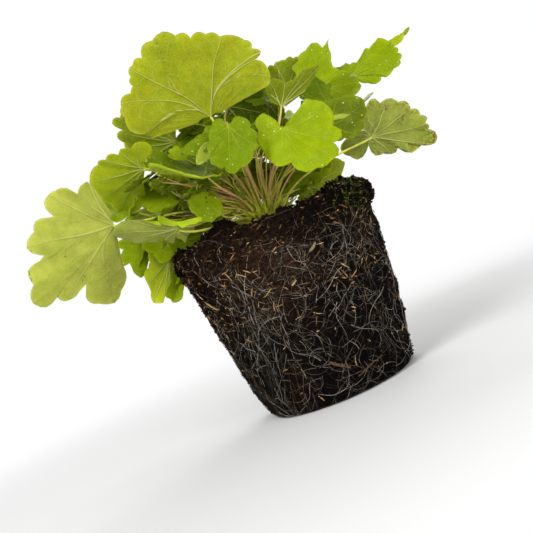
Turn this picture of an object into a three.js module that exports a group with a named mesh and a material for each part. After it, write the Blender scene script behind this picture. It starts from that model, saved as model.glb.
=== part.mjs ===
// A young garden heuchera lifted out of its nursery pot: a bare root ball that keeps the pot's taper, a woody
// crown on top of it, and a loose dome of lobed leaves, each blade on its own stalk. Millimetres, +Z up, the
// origin at the middle of the root ball's flat foot.
import * as THREE from 'three';
import { ParametricGeometry } from 'three/addons/geometries/ParametricGeometry.js';

const DEG = Math.PI / 180;
const JOINT_GAP = 0.3;             // clearance left between pieces that touch in the plant

// Root ball. side: radius and height up the tapered side. rim and top: where the side turns over to the soil.
const BALL = {
  top: 108, foot: 43, side: [[46.5, 3], [49, 12], [52.5, 40], [58, 74], [64, 103]], sideSteps: 9,
  rim: 62, topRings: [54, 44, 33, 26], around: 48, seatBlend: 14,
};
// Lumps on its side: waves around, turn per millimetre of height, phase, size in millimetres.
const LUMPS = [[1, 0, -1.57, 1.2], [3, 0.09, 0, 0.7], [7, -0.13, 1, 0.6], [12, 0.31, 2, 0.4]];
const LUMP_FADE = 12;              // the lumps grow from nothing over this height, so the foot stays round
// Heaps of loose soil on its top: centre, height and spread.
const HEAPS = [
  { x: 45, y: 12, height: 10, spread: 13 },
  { x: -38, y: -6, height: 4, spread: 13 },
  { x: -20, y: 42, height: 5, spread: 15 },
];
const CROWN = { x: -3, y: 2, radius: 18, height: 8.5, seat: 20, around: 30, steps: 6 };

const BLADE = { thickness: 0.6, columns: 42, rings: 2, edgePower: 4 };
// Seven lobes fan out from the end of the stalk. Angles are degrees from the midrib, and reaches and clefts
// are shares of the length.
const LOBES = {
  angles: [-136, -92, -46, 0, 46, 92, 136],
  reach: [0.66, 0.86, 0.98, 1.0, 0.98, 0.86, 0.66],
  edgeAngle: 18,                   // how far the blade runs on past the tip of its last lobe
  edgeReach: 0.62,
  cleft: 0.8,                      // depth between two lobes, of the reach halfway between them
  ownCleft: 0.92,                  // the same on a blade with an outline of its own
  vary: 0.06,
  roundness: 0.75,
  teeth: 3,                        // scallops along each half lobe's edge
  toothDepth: 0.045,
};
const NARROW = [0.5, 0.62, 0.8, 1.15, 0.8, 0.62, 0.5];
const PUFF = 0.04;                 // how far the blade rises between two veins, as a share of its length
// Waves along the edge: how fast each runs round the blade, and its share.
const WAVES = [[2.2, 0.6], [4.1, 0.5], [7.3, 0.3]];
const WAVE_POWER = 2.5;
const USUAL = { arrive: 50, rise: 0.3, cup: 0.1, ruffle: 0.07 };

// thick and thin are radii. lead and tail: how far the bow's two handles reach, as shares of the run.
const STALK = {
  sides: 6, steps: 8, thick: 1.25, thin: 1, thinBelow: 30, lead: 0.33, tail: 0.3, thickColour: 0x9c7a5c,
  thinColour: 0x97903f,
};
// Feet of the stalks on the crown: the ring they stand in, its outer limit, and the room that each needs.
const FEET = { ring: 13.5, limit: 13.6, room: 3.7, passes: 600, push: 0.25, pull: 0.01 };

// Surface colours. UPPER is a lit upper side, UNDER the paler underside, DEEP a blade in the plant's shade.
const UPPER = 0x9bbd16, UNDER = 0xa9b446, DEEP = 0x7c960f, GREYED = 0x929b4c;
const SOIL = 0x2b211a, WOOD = 0x6f5a2c;

// One row per leaf. at: where the stalk meets the blade. heading, pitch, roll: where the midrib points (0 is
// +X, 90 is +Y), how far it rises, and the blade's turn about it. length: from the stalk to the middle lobe.
// arrive: angle between stalk and blade. rise: how much the stalk bows upward. outline, on the blades whose
// lobes are uneven: angle from the midrib and reach at the first edge, the seven lobe tips and the last edge.
const LEAVES = [
  // upper left, the largest, tipped up so that its underside shows
  { at: [-9, -22, 176], heading: 250, pitch: 65, roll: 20, length: 52, seed: 3, arrive: 20, cup: 0.06,
    ruffle: 0.05, colour: UNDER,
    outline: [[-80, 28], [-74, 39], [-50, 50], [-28, 50], [-4, 52], [40, 45], [70, 46], [88, 41], [94, 25]] },
  // far left, large, hanging edge-up
  { at: [-83, -34, 140], heading: 195, pitch: 5, roll: 55, length: 50, seed: 5, arrive: 20, ruffle: 0.06,
    colour: UNDER,
    outline: [[-90, 40], [-78, 54], [-50, 60], [-34, 64], [0, 48], [42, 39], [60, 33], [76, 25], [90, 10]] },
  // left, above that one
  { at: [-56, -18, 165], heading: 165, pitch: 5, roll: 50, length: 34, seed: 7, arrive: 10, rise: 1,
    colour: UNDER,
    outline: [[-62, 20], [-52, 36], [-40, 41], [-16, 38], [2, 37],
      [36, 23], [64, 17], [112, 17], [138, 8]] },
  // low front left, its underside outward
  { at: [-49, -44, 123], heading: 180, pitch: 20, roll: 30, length: 38, seed: 9, arrive: 20, rise: -0.3,
    cup: 0.12, colour: GREYED,
    outline: [[-168, 8], [-110, 9], [-55, 24], [-25, 40], [0, 36],
      [18, 20], [62, 21], [140, 18], [175, 8]] },
  // small, just above that one
  { at: [-25, -35, 121], heading: 180, pitch: 20, roll: -55, length: 16, seed: 35, cup: 0.3, colour: UPPER,
    outline: [[-116, 5], [-90, 9], [-64, 15], [-42, 19], [-20, 19], [8, 16], [30, 12], [52, 8], [75, 5]] },
  // front, a shallow scoop in front of the stalks
  { at: [-24, -44, 145], heading: 180, pitch: 25, roll: -25, length: 29, seed: 2, cup: 0.22, colour: DEEP,
    outline: [[-150, 9], [-108, 19], [-62, 26], [-25, 25], [10, 31],
      [38, 37], [60, 42], [90, 25], [155, 8]] },
  // front, small and narrow
  { at: [-11, -50, 162], heading: 195, pitch: -10, roll: -55, length: 21, seed: 21, colour: UPPER,
    outline: [[-150, 4], [-105, 6], [-60, 7], [-17, 12], [2, 21], [20, 21], [38, 14], [72, 7], [130, 4]] },
  // front, small, hanging
  { at: [-3, -62, 160], heading: 265, pitch: -65, roll: -10, length: 24, seed: 12, arrive: 10, rise: 0,
    colour: UPPER,
    outline: [[-166, 6], [-155, 7], [-68, 12], [-42, 21], [-16, 29], [5, 27], [28, 20], [65, 12], [112, 8]] },
  // front, the brightest, its upper side hanging outward
  { at: [23, -58, 148], heading: 285, pitch: -60, roll: 15, length: 30, seed: 11, arrive: 80, cup: 0.06,
    colour: UPPER,
    outline: [[-172, 8], [-162, 16], [-94, 15], [-34, 24], [-5, 34],
      [20, 36], [44, 32], [104, 24], [114, 14]] },
  // right, standing on edge
  { at: [73, -12, 130], heading: 345, pitch: -20, roll: -60, length: 36, seed: 14, cup: 0.08, colour: GREYED,
    outline: [[-176, 8], [-120, 14], [-75, 21], [-35, 28], [14, 37],
      [30, 17], [110, 8], [145, 20], [176, 4]] },
  // upper right, ruffled
  { at: [60, 5, 170], heading: 50, pitch: 50, roll: 35, length: 34, seed: 15, arrive: 60, colour: UPPER,
    outline: [[-132, 10], [-114, 16], [-78, 22], [-32, 21], [-6, 38],
      [14, 35], [34, 30], [75, 14], [150, 6]] },
  // upper right, long and narrow
  { at: [83, 22, 174], heading: 10, pitch: 15, roll: 60, length: 40, seed: 31, arrive: 110, rise: 1.5,
    colour: UPPER,
    outline: [[-100, 5], [-75, 12], [-42, 27], [-18, 33], [2, 52], [15, 30], [27, 15], [92, 12], [145, 4]] },
  // right, behind the edge-on leaf
  { at: [51, -20, 144], heading: 350, pitch: 5, roll: 75, length: 25, seed: 16, colour: DEEP,
    outline: [[-90, 8], [-65, 12], [-38, 20], [-20, 20], [-2, 24], [16, 24], [40, 18], [85, 14], [130, 8]] },
  // middle, half folded
  { at: [31, -13, 167], heading: 330, pitch: 45, roll: -50, length: 24, seed: 17, cup: 0.15, colour: DEEP,
    outline: [[-75, 10], [-60, 14], [-40, 17], [-5, 17], [20, 22], [32, 33], [44, 20], [62, 9], [75, 5]] },
  // middle, behind the largest leaf
  { at: [3, 1, 183], heading: 350, pitch: 5, roll: -50, length: 27, seed: 18, colour: DEEP },
  // low right, behind the rim of the root ball
  { at: [33, 43, 122], heading: 10, pitch: 5, roll: -55, length: 27, seed: 19, reach: NARROW, colour: UNDER },
  { at: [20, 11, 118], heading: 10, pitch: 10, roll: 10, length: 13, seed: 22, rise: -0.3, colour: DEEP },
  // low left, three that hang over the rim of the root ball
  { at: [-65, -2, 113], heading: 210, pitch: -50, roll: 90, length: 26, seed: 23, colour: GREYED,
    outline: [[-44, 5], [-38, 10], [-18, 19], [-8, 27], [2, 30], [22, 22], [58, 15], [92, 11], [108, 8]] },
  { at: [-67, 14, 120], heading: 215, pitch: -55, roll: -50, length: 30, seed: 33, colour: DEEP,
    outline: [[-40, 5], [-5, 11], [5, 29], [11, 34], [16, 36], [22, 31], [32, 17], [60, 9], [90, 4]] },
  { at: [-75, 11, 129], heading: 205, pitch: -35, roll: -50, length: 21, seed: 24, colour: DEEP,
    outline: [[-80, 8], [-66, 18], [-38, 16], [-10, 24], [8, 22], [26, 29], [34, 20], [42, 11], [60, 6]] },
  // left, under the largest leaf
  { at: [-34, 8, 177], heading: 170, pitch: 20, roll: 55, length: 42, seed: 25, colour: DEEP,
    outline: [[-62, 11], [-50, 19], [-32, 28], [-8, 34], [12, 37], [27, 42], [55, 34], [82, 24], [90, 10]] },
  // left, three small ones among the stalks
  { at: [-78, 18, 155], heading: 160, pitch: 35, roll: -35, length: 23, seed: 26, colour: DEEP },
  { at: [-36, -9, 140], heading: 180, pitch: 30, roll: 35, length: 28, seed: 27, colour: DEEP },
  { at: [-59, 38, 143], heading: 165, pitch: 15, roll: -35, length: 28, seed: 28, colour: DEEP },
  // top, behind the ruffled leaf
  { at: [45, 34, 184], heading: 325, pitch: 45, roll: -75, length: 23, seed: 29, colour: UNDER,
    outline: [[-110, 12], [-88, 16], [-66, 20], [-40, 19], [-22, 19], [2, 21], [14, 13], [30, 8], [60, 5]] },
  // the far side of the dome
  { at: [-42, 88, 160], heading: 125, pitch: 10, roll: 10, length: 40, seed: 41, colour: UPPER },
  { at: [12, 48, 160], heading: 80, pitch: 10, roll: -10, length: 42, seed: 42, colour: UPPER },
  { at: [60, 52, 152], heading: 30, pitch: 15, roll: 5, length: 38, seed: 43, arrive: 10, rise: 0,
    colour: UPPER },
  { at: [-8, 30, 190], heading: 150, pitch: 40, roll: 10, length: 36, seed: 44, colour: UPPER },
].map((row) => ({ ...USUAL, ...row }));

const vec = (x, y, z) => new THREE.Vector3(x, y, z);

// A repeatable number between -1 and 1 for a seed and an index.
function jitter(seed, index) {
  const value = Math.sin(seed * 127.1 + index * 311.7) * 43758.5453;
  return (value - Math.floor(value)) * 2 - 1;
}

function bladeAxes(leaf) {
  const h = leaf.heading * DEG, p = leaf.pitch * DEG, r = leaf.roll * DEG;
  const midrib = vec(Math.cos(p) * Math.cos(h), Math.cos(p) * Math.sin(h), Math.sin(p));
  const level = vec(-Math.sin(h), Math.cos(h), 0);
  const up = midrib.clone().cross(level);
  const side = level.clone().multiplyScalar(Math.cos(r)).addScaledVector(up, Math.sin(r));
  const top = up.multiplyScalar(Math.cos(r)).addScaledVector(level, -Math.sin(r));
  return { midrib, side, top };
}

// Angle and reach at the first edge of a blade, its seven lobe tips and its last edge.
function tipsOf(leaf) {
  if (leaf.outline) return leaf.outline;
  const tips = LOBES.angles.map((angle, i) => {
    const vary = leaf.reach ? 1 : 1 + LOBES.vary * jitter(leaf.seed, i);
    return [angle, (leaf.reach ?? LOBES.reach)[i] * leaf.length * vary];
  });
  const edge = ([angle, reach], turn) => [angle + turn * LOBES.edgeAngle, reach * LOBES.edgeReach];
  return [edge(tips[0], -1), ...tips, edge(tips[6], 1)];
}

// The same with the six clefts put in between the tips: 15 pairs.
function rimOf(leaf) {
  const tips = tipsOf(leaf), cleft = leaf.outline ? LOBES.ownCleft : LOBES.cleft;
  const rim = [tips[0], tips[1]];
  for (let i = 2; i < 8; i++) {
    const [before, tip] = [tips[i - 1], tips[i]];
    const depth = cleft * (1 + LOBES.vary * jitter(leaf.seed, i + 6));
    rim.push([(before[0] + tip[0]) / 2, (before[1] + tip[1]) / 2 * depth], tip);
  }
  return [...rim, tips[8]];
}

// The edge of the blade at lobe coordinate k: whole numbers -3 to 3 are lobe tips, halves are clefts.
function edgeAt(rim, k) {
  const along = (k + 3.5) * 2, i = Math.min(13, Math.floor(along)), g = along - i;
  const rounding = (x) => Math.sin(Math.PI / 2 * x) ** LOBES.roundness;
  const w = i % 2 === 0 ? rounding(g) : 1 - rounding(1 - g);
  const tooth = Math.abs(Math.cos(LOBES.teeth * Math.PI * k)) ** 0.7 - 0.65;
  return {
    angle: (rim[i][0] * (1 - g) + rim[i + 1][0] * g) * DEG,
    reach: (rim[i][1] * (1 - w) + rim[i + 1][1] * w) * (1 + LOBES.toothDepth * tooth),
  };
}

// A point on the blade's middle surface. s runs from 0 at the stalk to 1 at the edge. The blade is dished,
// puffed between its veins and waved along its edge.
function bladePoint(leaf, rim, k, s) {
  const edge = edgeAt(rim, k), r = s * edge.reach;
  const between = Math.abs(k - Math.round(k)) * 2;
  const dish = leaf.cup * (r / leaf.length) ** 2;
  const puff = PUFF * Math.sin(Math.PI / 2 * between) ** 2 * s * (1.25 - s);
  const wave = WAVES.reduce((sum, [speed, share], i) => (
    sum + share * Math.sin(speed * k + 3 * jitter(leaf.seed, 20 + i))), 0);
  const lift = dish + puff + leaf.ruffle * s ** WAVE_POWER * wave;
  return vec(r * Math.cos(edge.angle), r * Math.sin(edge.angle), lift * leaf.length);
}

// A thin closed blade: out along its underside from one edge to the other, then back over its upper side. The
// two sides meet in a sharp edge at s = 1.
function bladeGeometry(leaf) {
  const rim = rimOf(leaf), axes = bladeAxes(leaf), at = vec(...leaf.at);
  const last = BLADE.columns, loop = 2 * last + 2;
  const surface = (u, s, target) => {
    const column = Math.round(u * loop) % loop, under = column <= last;
    const step = under ? column : loop - 1 - column;
    const p = bladePoint(leaf, rim, -3.5 + 7 * step / last, s);
    p.z += (under ? -0.5 : 0.5) * BLADE.thickness * (1 - s ** BLADE.edgePower);
    target.copy(at).addScaledVector(axes.midrib, p.x).addScaledVector(axes.side, p.y)
      .addScaledVector(axes.top, p.z);
  };
  const geometry = new ParametricGeometry(surface, loop, BLADE.rings);
  turnDiagonals(geometry.index, loop, last + 1);
  return geometry;
}

// Each cell of the grid is cut into two triangles along the same diagonal. From one column on, this cuts the
// cells along the other one. The upper side runs back over the underside, so its cells are turned: both sides
// then bend in the same places and never cross.
function turnDiagonals(index, columns, firstColumn) {
  for (let cell = 0; cell < index.count / 6; cell++) {
    if (cell % columns < firstColumn) continue;
    const corner = (i) => index.getX(6 * cell + i);
    const [a, b, d, c] = [corner(0), corner(1), corner(2), corner(4)];
    [a, b, c, a, c, d].forEach((vertex, i) => index.setX(6 * cell + i, vertex));
  }
}

// Where the stalks leave the crown, from its axis: toward their own leaves, nearer the middle the steeper
// they climb, then eased apart until each has room.
function stalkFeet() {
  const feet = LEAVES.map(({ at: [x, y, z] }) => {
    const away = new THREE.Vector2(x - CROWN.x, y - CROWN.y);
    const climb = Math.atan2(z - BALL.top, away.length()) / DEG;
    return away.setLength(FEET.ring * THREE.MathUtils.clamp(1.15 - climb / 95, 0.12, 1));
  });
  const homes = feet.map((foot) => foot.clone());
  for (let pass = 0; pass < FEET.passes; pass++) {
    const moves = feet.map((foot, i) => {
      const move = homes[i].clone().sub(foot).multiplyScalar(FEET.pull);
      feet.forEach((other, j) => {
        const apart = foot.clone().sub(other), lack = FEET.room - apart.length();
        if (i !== j && lack > 0) move.add(apart.setLength(lack * FEET.push));
      });
      return move;
    });
    feet.forEach((foot, i) => foot.add(moves[i]).clampLength(0, FEET.limit));
  }
  return feet;
}

// The crown is half an ellipsoid: a point of its surface and the outward direction there.
function crownAt({ x, y }) {
  const z = CROWN.height * Math.sqrt(1 - (x * x + y * y) / CROWN.radius ** 2);
  const out = vec(x / CROWN.radius ** 2, y / CROWN.radius ** 2, z / CROWN.height ** 2).normalize();
  return { point: vec(CROWN.x + x, CROWN.y + y, BALL.top + JOINT_GAP + z), out };
}

// A round stalk from just off the crown to just under its blade.
function stalkGeometry(leaf, rootAt) {
  const radius = leaf.length < STALK.thinBelow ? STALK.thin : STALK.thick;
  const { midrib, top } = bladeAxes(leaf), foot = crownAt(rootAt), blade = vec(...leaf.at);
  const arrive = midrib.multiplyScalar(Math.cos(leaf.arrive * DEG))
    .addScaledVector(top, Math.sin(leaf.arrive * DEG));
  const straight = blade.clone().sub(foot.point), run = straight.length();
  const leave = foot.out.clone().multiplyScalar(0.5).addScaledVector(straight, 0.5 / run)
    .add(vec(0, 0, leaf.rise)).normalize();
  const footSlant = Math.sqrt(1 - Math.min(1, leave.dot(foot.out)) ** 2);
  const start = foot.point.addScaledVector(foot.out, JOINT_GAP + radius * footSlant);
  const tipSlant = Math.abs(Math.cos(leaf.arrive * DEG));
  const end = blade.addScaledVector(top, -(BLADE.thickness / 2 + JOINT_GAP + radius * tipSlant));
  const path = new THREE.CubicBezierCurve3(start, start.clone().addScaledVector(leave, run * STALK.lead),
    end.clone().addScaledVector(arrive, -run * STALK.tail), end);
  const section = new THREE.Shape(Array.from({ length: STALK.sides }, (_, i) => (
    new THREE.Vector2(radius, 0).rotateAround(new THREE.Vector2(), 2 * Math.PI * i / STALK.sides))));
  return new THREE.ExtrudeGeometry(section, { steps: STALK.steps, extrudePath: path, bevelEnabled: false });
}

function crownGeometry() {
  const profile = [new THREE.Vector2(0, 0)];
  for (let i = 0; i < CROWN.steps; i++) {
    const rise = Math.PI / 2 * i / CROWN.steps;
    profile.push(new THREE.Vector2(CROWN.radius * Math.cos(rise), CROWN.height * Math.sin(rise)));
  }
  profile.push(new THREE.Vector2(0, CROWN.height));
  return new THREE.LatheGeometry(profile, CROWN.around).rotateX(Math.PI / 2)
    .translate(CROWN.x, CROWN.y, BALL.top + JOINT_GAP);
}

// The root ball turned from its profile, then given lumps on its side and heaps of soil on its top. The foot
// and the seat of the crown stay flat.
function rootBallGeometry() {
  const point = (r, z) => new THREE.Vector2(r, z);
  const side = new THREE.SplineCurve(BALL.side.map(([r, z]) => point(r, z))).getPoints(BALL.sideSteps);
  const top = [BALL.rim, ...BALL.topRings, CROWN.seat, 0].map((r) => point(r, BALL.top));
  const geometry = new THREE.LatheGeometry([point(0, 0), point(BALL.foot, 0), ...side, ...top], BALL.around)
    .rotateX(Math.PI / 2);
  const position = geometry.attributes.position;
  for (let i = 0; i < position.count; i++) {
    const x = position.getX(i), y = position.getY(i), z = position.getZ(i), r = Math.hypot(x, y);
    if (r < CROWN.seat + 1 || z === 0) continue;
    const step = 2 * Math.PI / BALL.around, turn = Math.round(Math.atan2(y, x) / step) * step;
    const lump = LUMPS.reduce((sum, [waves, twist, phase, size]) => (
      sum + size * Math.sin(waves * turn + twist * z + phase)), 0);
    const scale = 1 + lump * Math.min(1, z / LUMP_FADE) / r;
    const clear = (Math.hypot(x - CROWN.x, y - CROWN.y) - CROWN.seat) / BALL.seatBlend;
    const heap = HEAPS.reduce((sum, h) => (
      sum + h.height * Math.exp(-((x - h.x) ** 2 + (y - h.y) ** 2) / h.spread ** 2)), 0);
    const lift = z < BALL.top ? 0 : heap * THREE.MathUtils.clamp(clear, 0, 1);
    position.setXYZ(i, x * scale, y * scale, z + lift);
  }
  return geometry;
}

const plant = new THREE.Group();
plant.name = 'heuchera';

function add(name, geometry, colour, roughness) {
  const material = new THREE.MeshStandardMaterial({ color: colour, roughness, metalness: 0 });
  const mesh = new THREE.Mesh(geometry, material);
  mesh.name = name;
  plant.add(mesh);
}

add('root_ball', rootBallGeometry(), SOIL, 1);
add('crown', crownGeometry(), WOOD, 0.9);
const feet = stalkFeet();
LEAVES.forEach((leaf, i) => {
  const number = String(i + 1).padStart(2, '0');
  const stalkColour = leaf.length < STALK.thinBelow ? STALK.thinColour : STALK.thickColour;
  add(`leaf_${number}`, bladeGeometry(leaf), leaf.colour, 0.5);
  add(`stalk_${number}`, stalkGeometry(leaf, feet[i]), stalkColour, 0.6);
});

export default plant;
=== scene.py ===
"""A young lime-green heuchera lifted out of its pot: lobed leaves on thin hairy stalks, a scaly crown, and a
root ball of dark compost matted with pale roots.

Sizes and places are in millimetres, in the frame of the CAD model. The leaves' places and directions, the
stalk paths and the root ball's profile repeat part.mjs, so that each piece lies where its CAD node is.
Edges, veins, hairs, crumbs, chips, roots and the small leaves are finer than the CAD model or not in it.
"""

import itertools
import math

import bpy
import numpy as np
from mathutils import Matrix, Vector


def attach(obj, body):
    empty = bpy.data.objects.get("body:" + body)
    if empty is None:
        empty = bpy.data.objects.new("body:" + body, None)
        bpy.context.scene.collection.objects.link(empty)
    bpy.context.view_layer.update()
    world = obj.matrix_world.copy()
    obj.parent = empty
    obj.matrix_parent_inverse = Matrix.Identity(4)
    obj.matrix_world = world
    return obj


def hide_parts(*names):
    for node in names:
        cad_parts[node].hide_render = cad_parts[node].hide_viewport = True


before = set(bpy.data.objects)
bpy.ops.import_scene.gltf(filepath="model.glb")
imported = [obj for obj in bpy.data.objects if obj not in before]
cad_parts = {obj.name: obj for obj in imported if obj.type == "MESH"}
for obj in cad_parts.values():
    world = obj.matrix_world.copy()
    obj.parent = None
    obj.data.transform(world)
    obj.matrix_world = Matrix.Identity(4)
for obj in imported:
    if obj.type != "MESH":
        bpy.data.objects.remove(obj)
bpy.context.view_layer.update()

MM = 0.001

# ---------------------------------------------------------------------------------------------------------
# Driving dimensions that repeat part.mjs

# Root ball: radius and height at the turns of its profile, from the middle of its foot to the middle of
# its top.
BALL_TOP = 108
BALL_PROFILE = [(0, 0), (43, 0), (46.5, 3), (49, 12), (52.5, 40), (58, 74), (64, 103), (62, 108), (0, 108)]
LUMPS = [(1, 0, -1.57, 1.2), (3, 0.09, 0, 0.7), (7, -0.13, 1, 0.6), (12, 0.31, 2, 0.4)]
LUMP_FADE = 12
HEAPS = [(45, 12, 10, 13), (-38, -6, 4, 13), (-20, 42, 5, 15)]  # centre, height, spread
CROWN = {"x": -3, "y": 2, "radius": 18, "height": 8.5, "seat": 20, "blend": 14}

# A blade without an edge row: where its seven lobes point, how far they reach as a share of its length,
# its first and last edge, its clefts, how uneven it is and how round its lobes are.
LOBE_ANGLES = (-136, -92, -46, 0, 46, 92, 136)
LOBE_REACH = (0.66, 0.86, 0.98, 1.0, 0.98, 0.86, 0.66)
NARROW = (0.5, 0.62, 0.8, 1.15, 0.8, 0.62, 0.5)
EDGE_ANGLE, EDGE_REACH = 18, 0.62
CLEFT, VARY, ROUNDNESS = 0.8, 0.06, 0.75
WAVES = ((2.2, 0.6), (4.1, 0.5), (7.3, 0.3))  # speed and share
WAVE_POWER = 2.5                   # how fast they grow toward the edge

# Radii and run of the stalks. part.mjs has no finest one: its thin one stands for it.
STALK = {"thick": 1.25, "thin": 1.0, "finest": 0.75, "thin_below": 30, "finest_below": 20, "lead": 0.33,
         "tail": 0.3}
FEET = {"ring": 13.5, "limit": 13.6, "room": 3.7, "passes": 600, "push": 0.25, "pull": 0.01}
BLADE_THICKNESS = 0.6
JOINT_GAP = 0.3

# Leaf colours, 0 to 255: one green in lit and shaded copies, upper sides and paler undersides. A leaf
# gets a lighter or darker copy by how much light falls on it: painted light and painted shade.
LIME = (134, 153, 3)
LIT_LIME = (140, 160, 3)
FRESH = (104, 126, 1)
GRASS = (112, 132, 4)
SHADE = (84, 106, 2)
PALE = (144, 149, 15)
LIT_GREYED = (174, 178, 74)
OLIVE = (138, 149, 14)
DULL = (112, 124, 6)
GREYED = (142, 148, 62)
LIT_OLIVE = (162, 174, 15)
SHADED = (92, 106, 4)
YOUNG = (166, 178, 62)

# What a leaf has where its row says nothing else. As in part.mjs: the angle between blade and stalk, how
# steeply the stalk leaves the crown, and how cupped and wavy the blade is. Only here: a frilled edge, a fold
# along the midrib, brown spots, a part painted darker as shade (from, to, how dark), how far the outer veins
# bend away from the midrib on each side in degrees, where the main veins end, which of them branch off
# another one (lobe: other lobe, share of the way), and strips of rim that roll over and are painted lighter
# as if light shone through them (from, to, width, radius, 1 for the upper side or -1 for the under).
USUAL = {"arrive": 50, "rise": 0.3, "cup": 0.1, "ruffle": 0.07, "frill": 0.016, "fold": 0, "spots": 0,
         "painted_shade": (0, 0, 0), "sweep": (12, 12), "tips": LOBE_ANGLES, "forks": {3: (2, 0.2), -3: (-2, 0.2)},
         "curls": ()}

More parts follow.
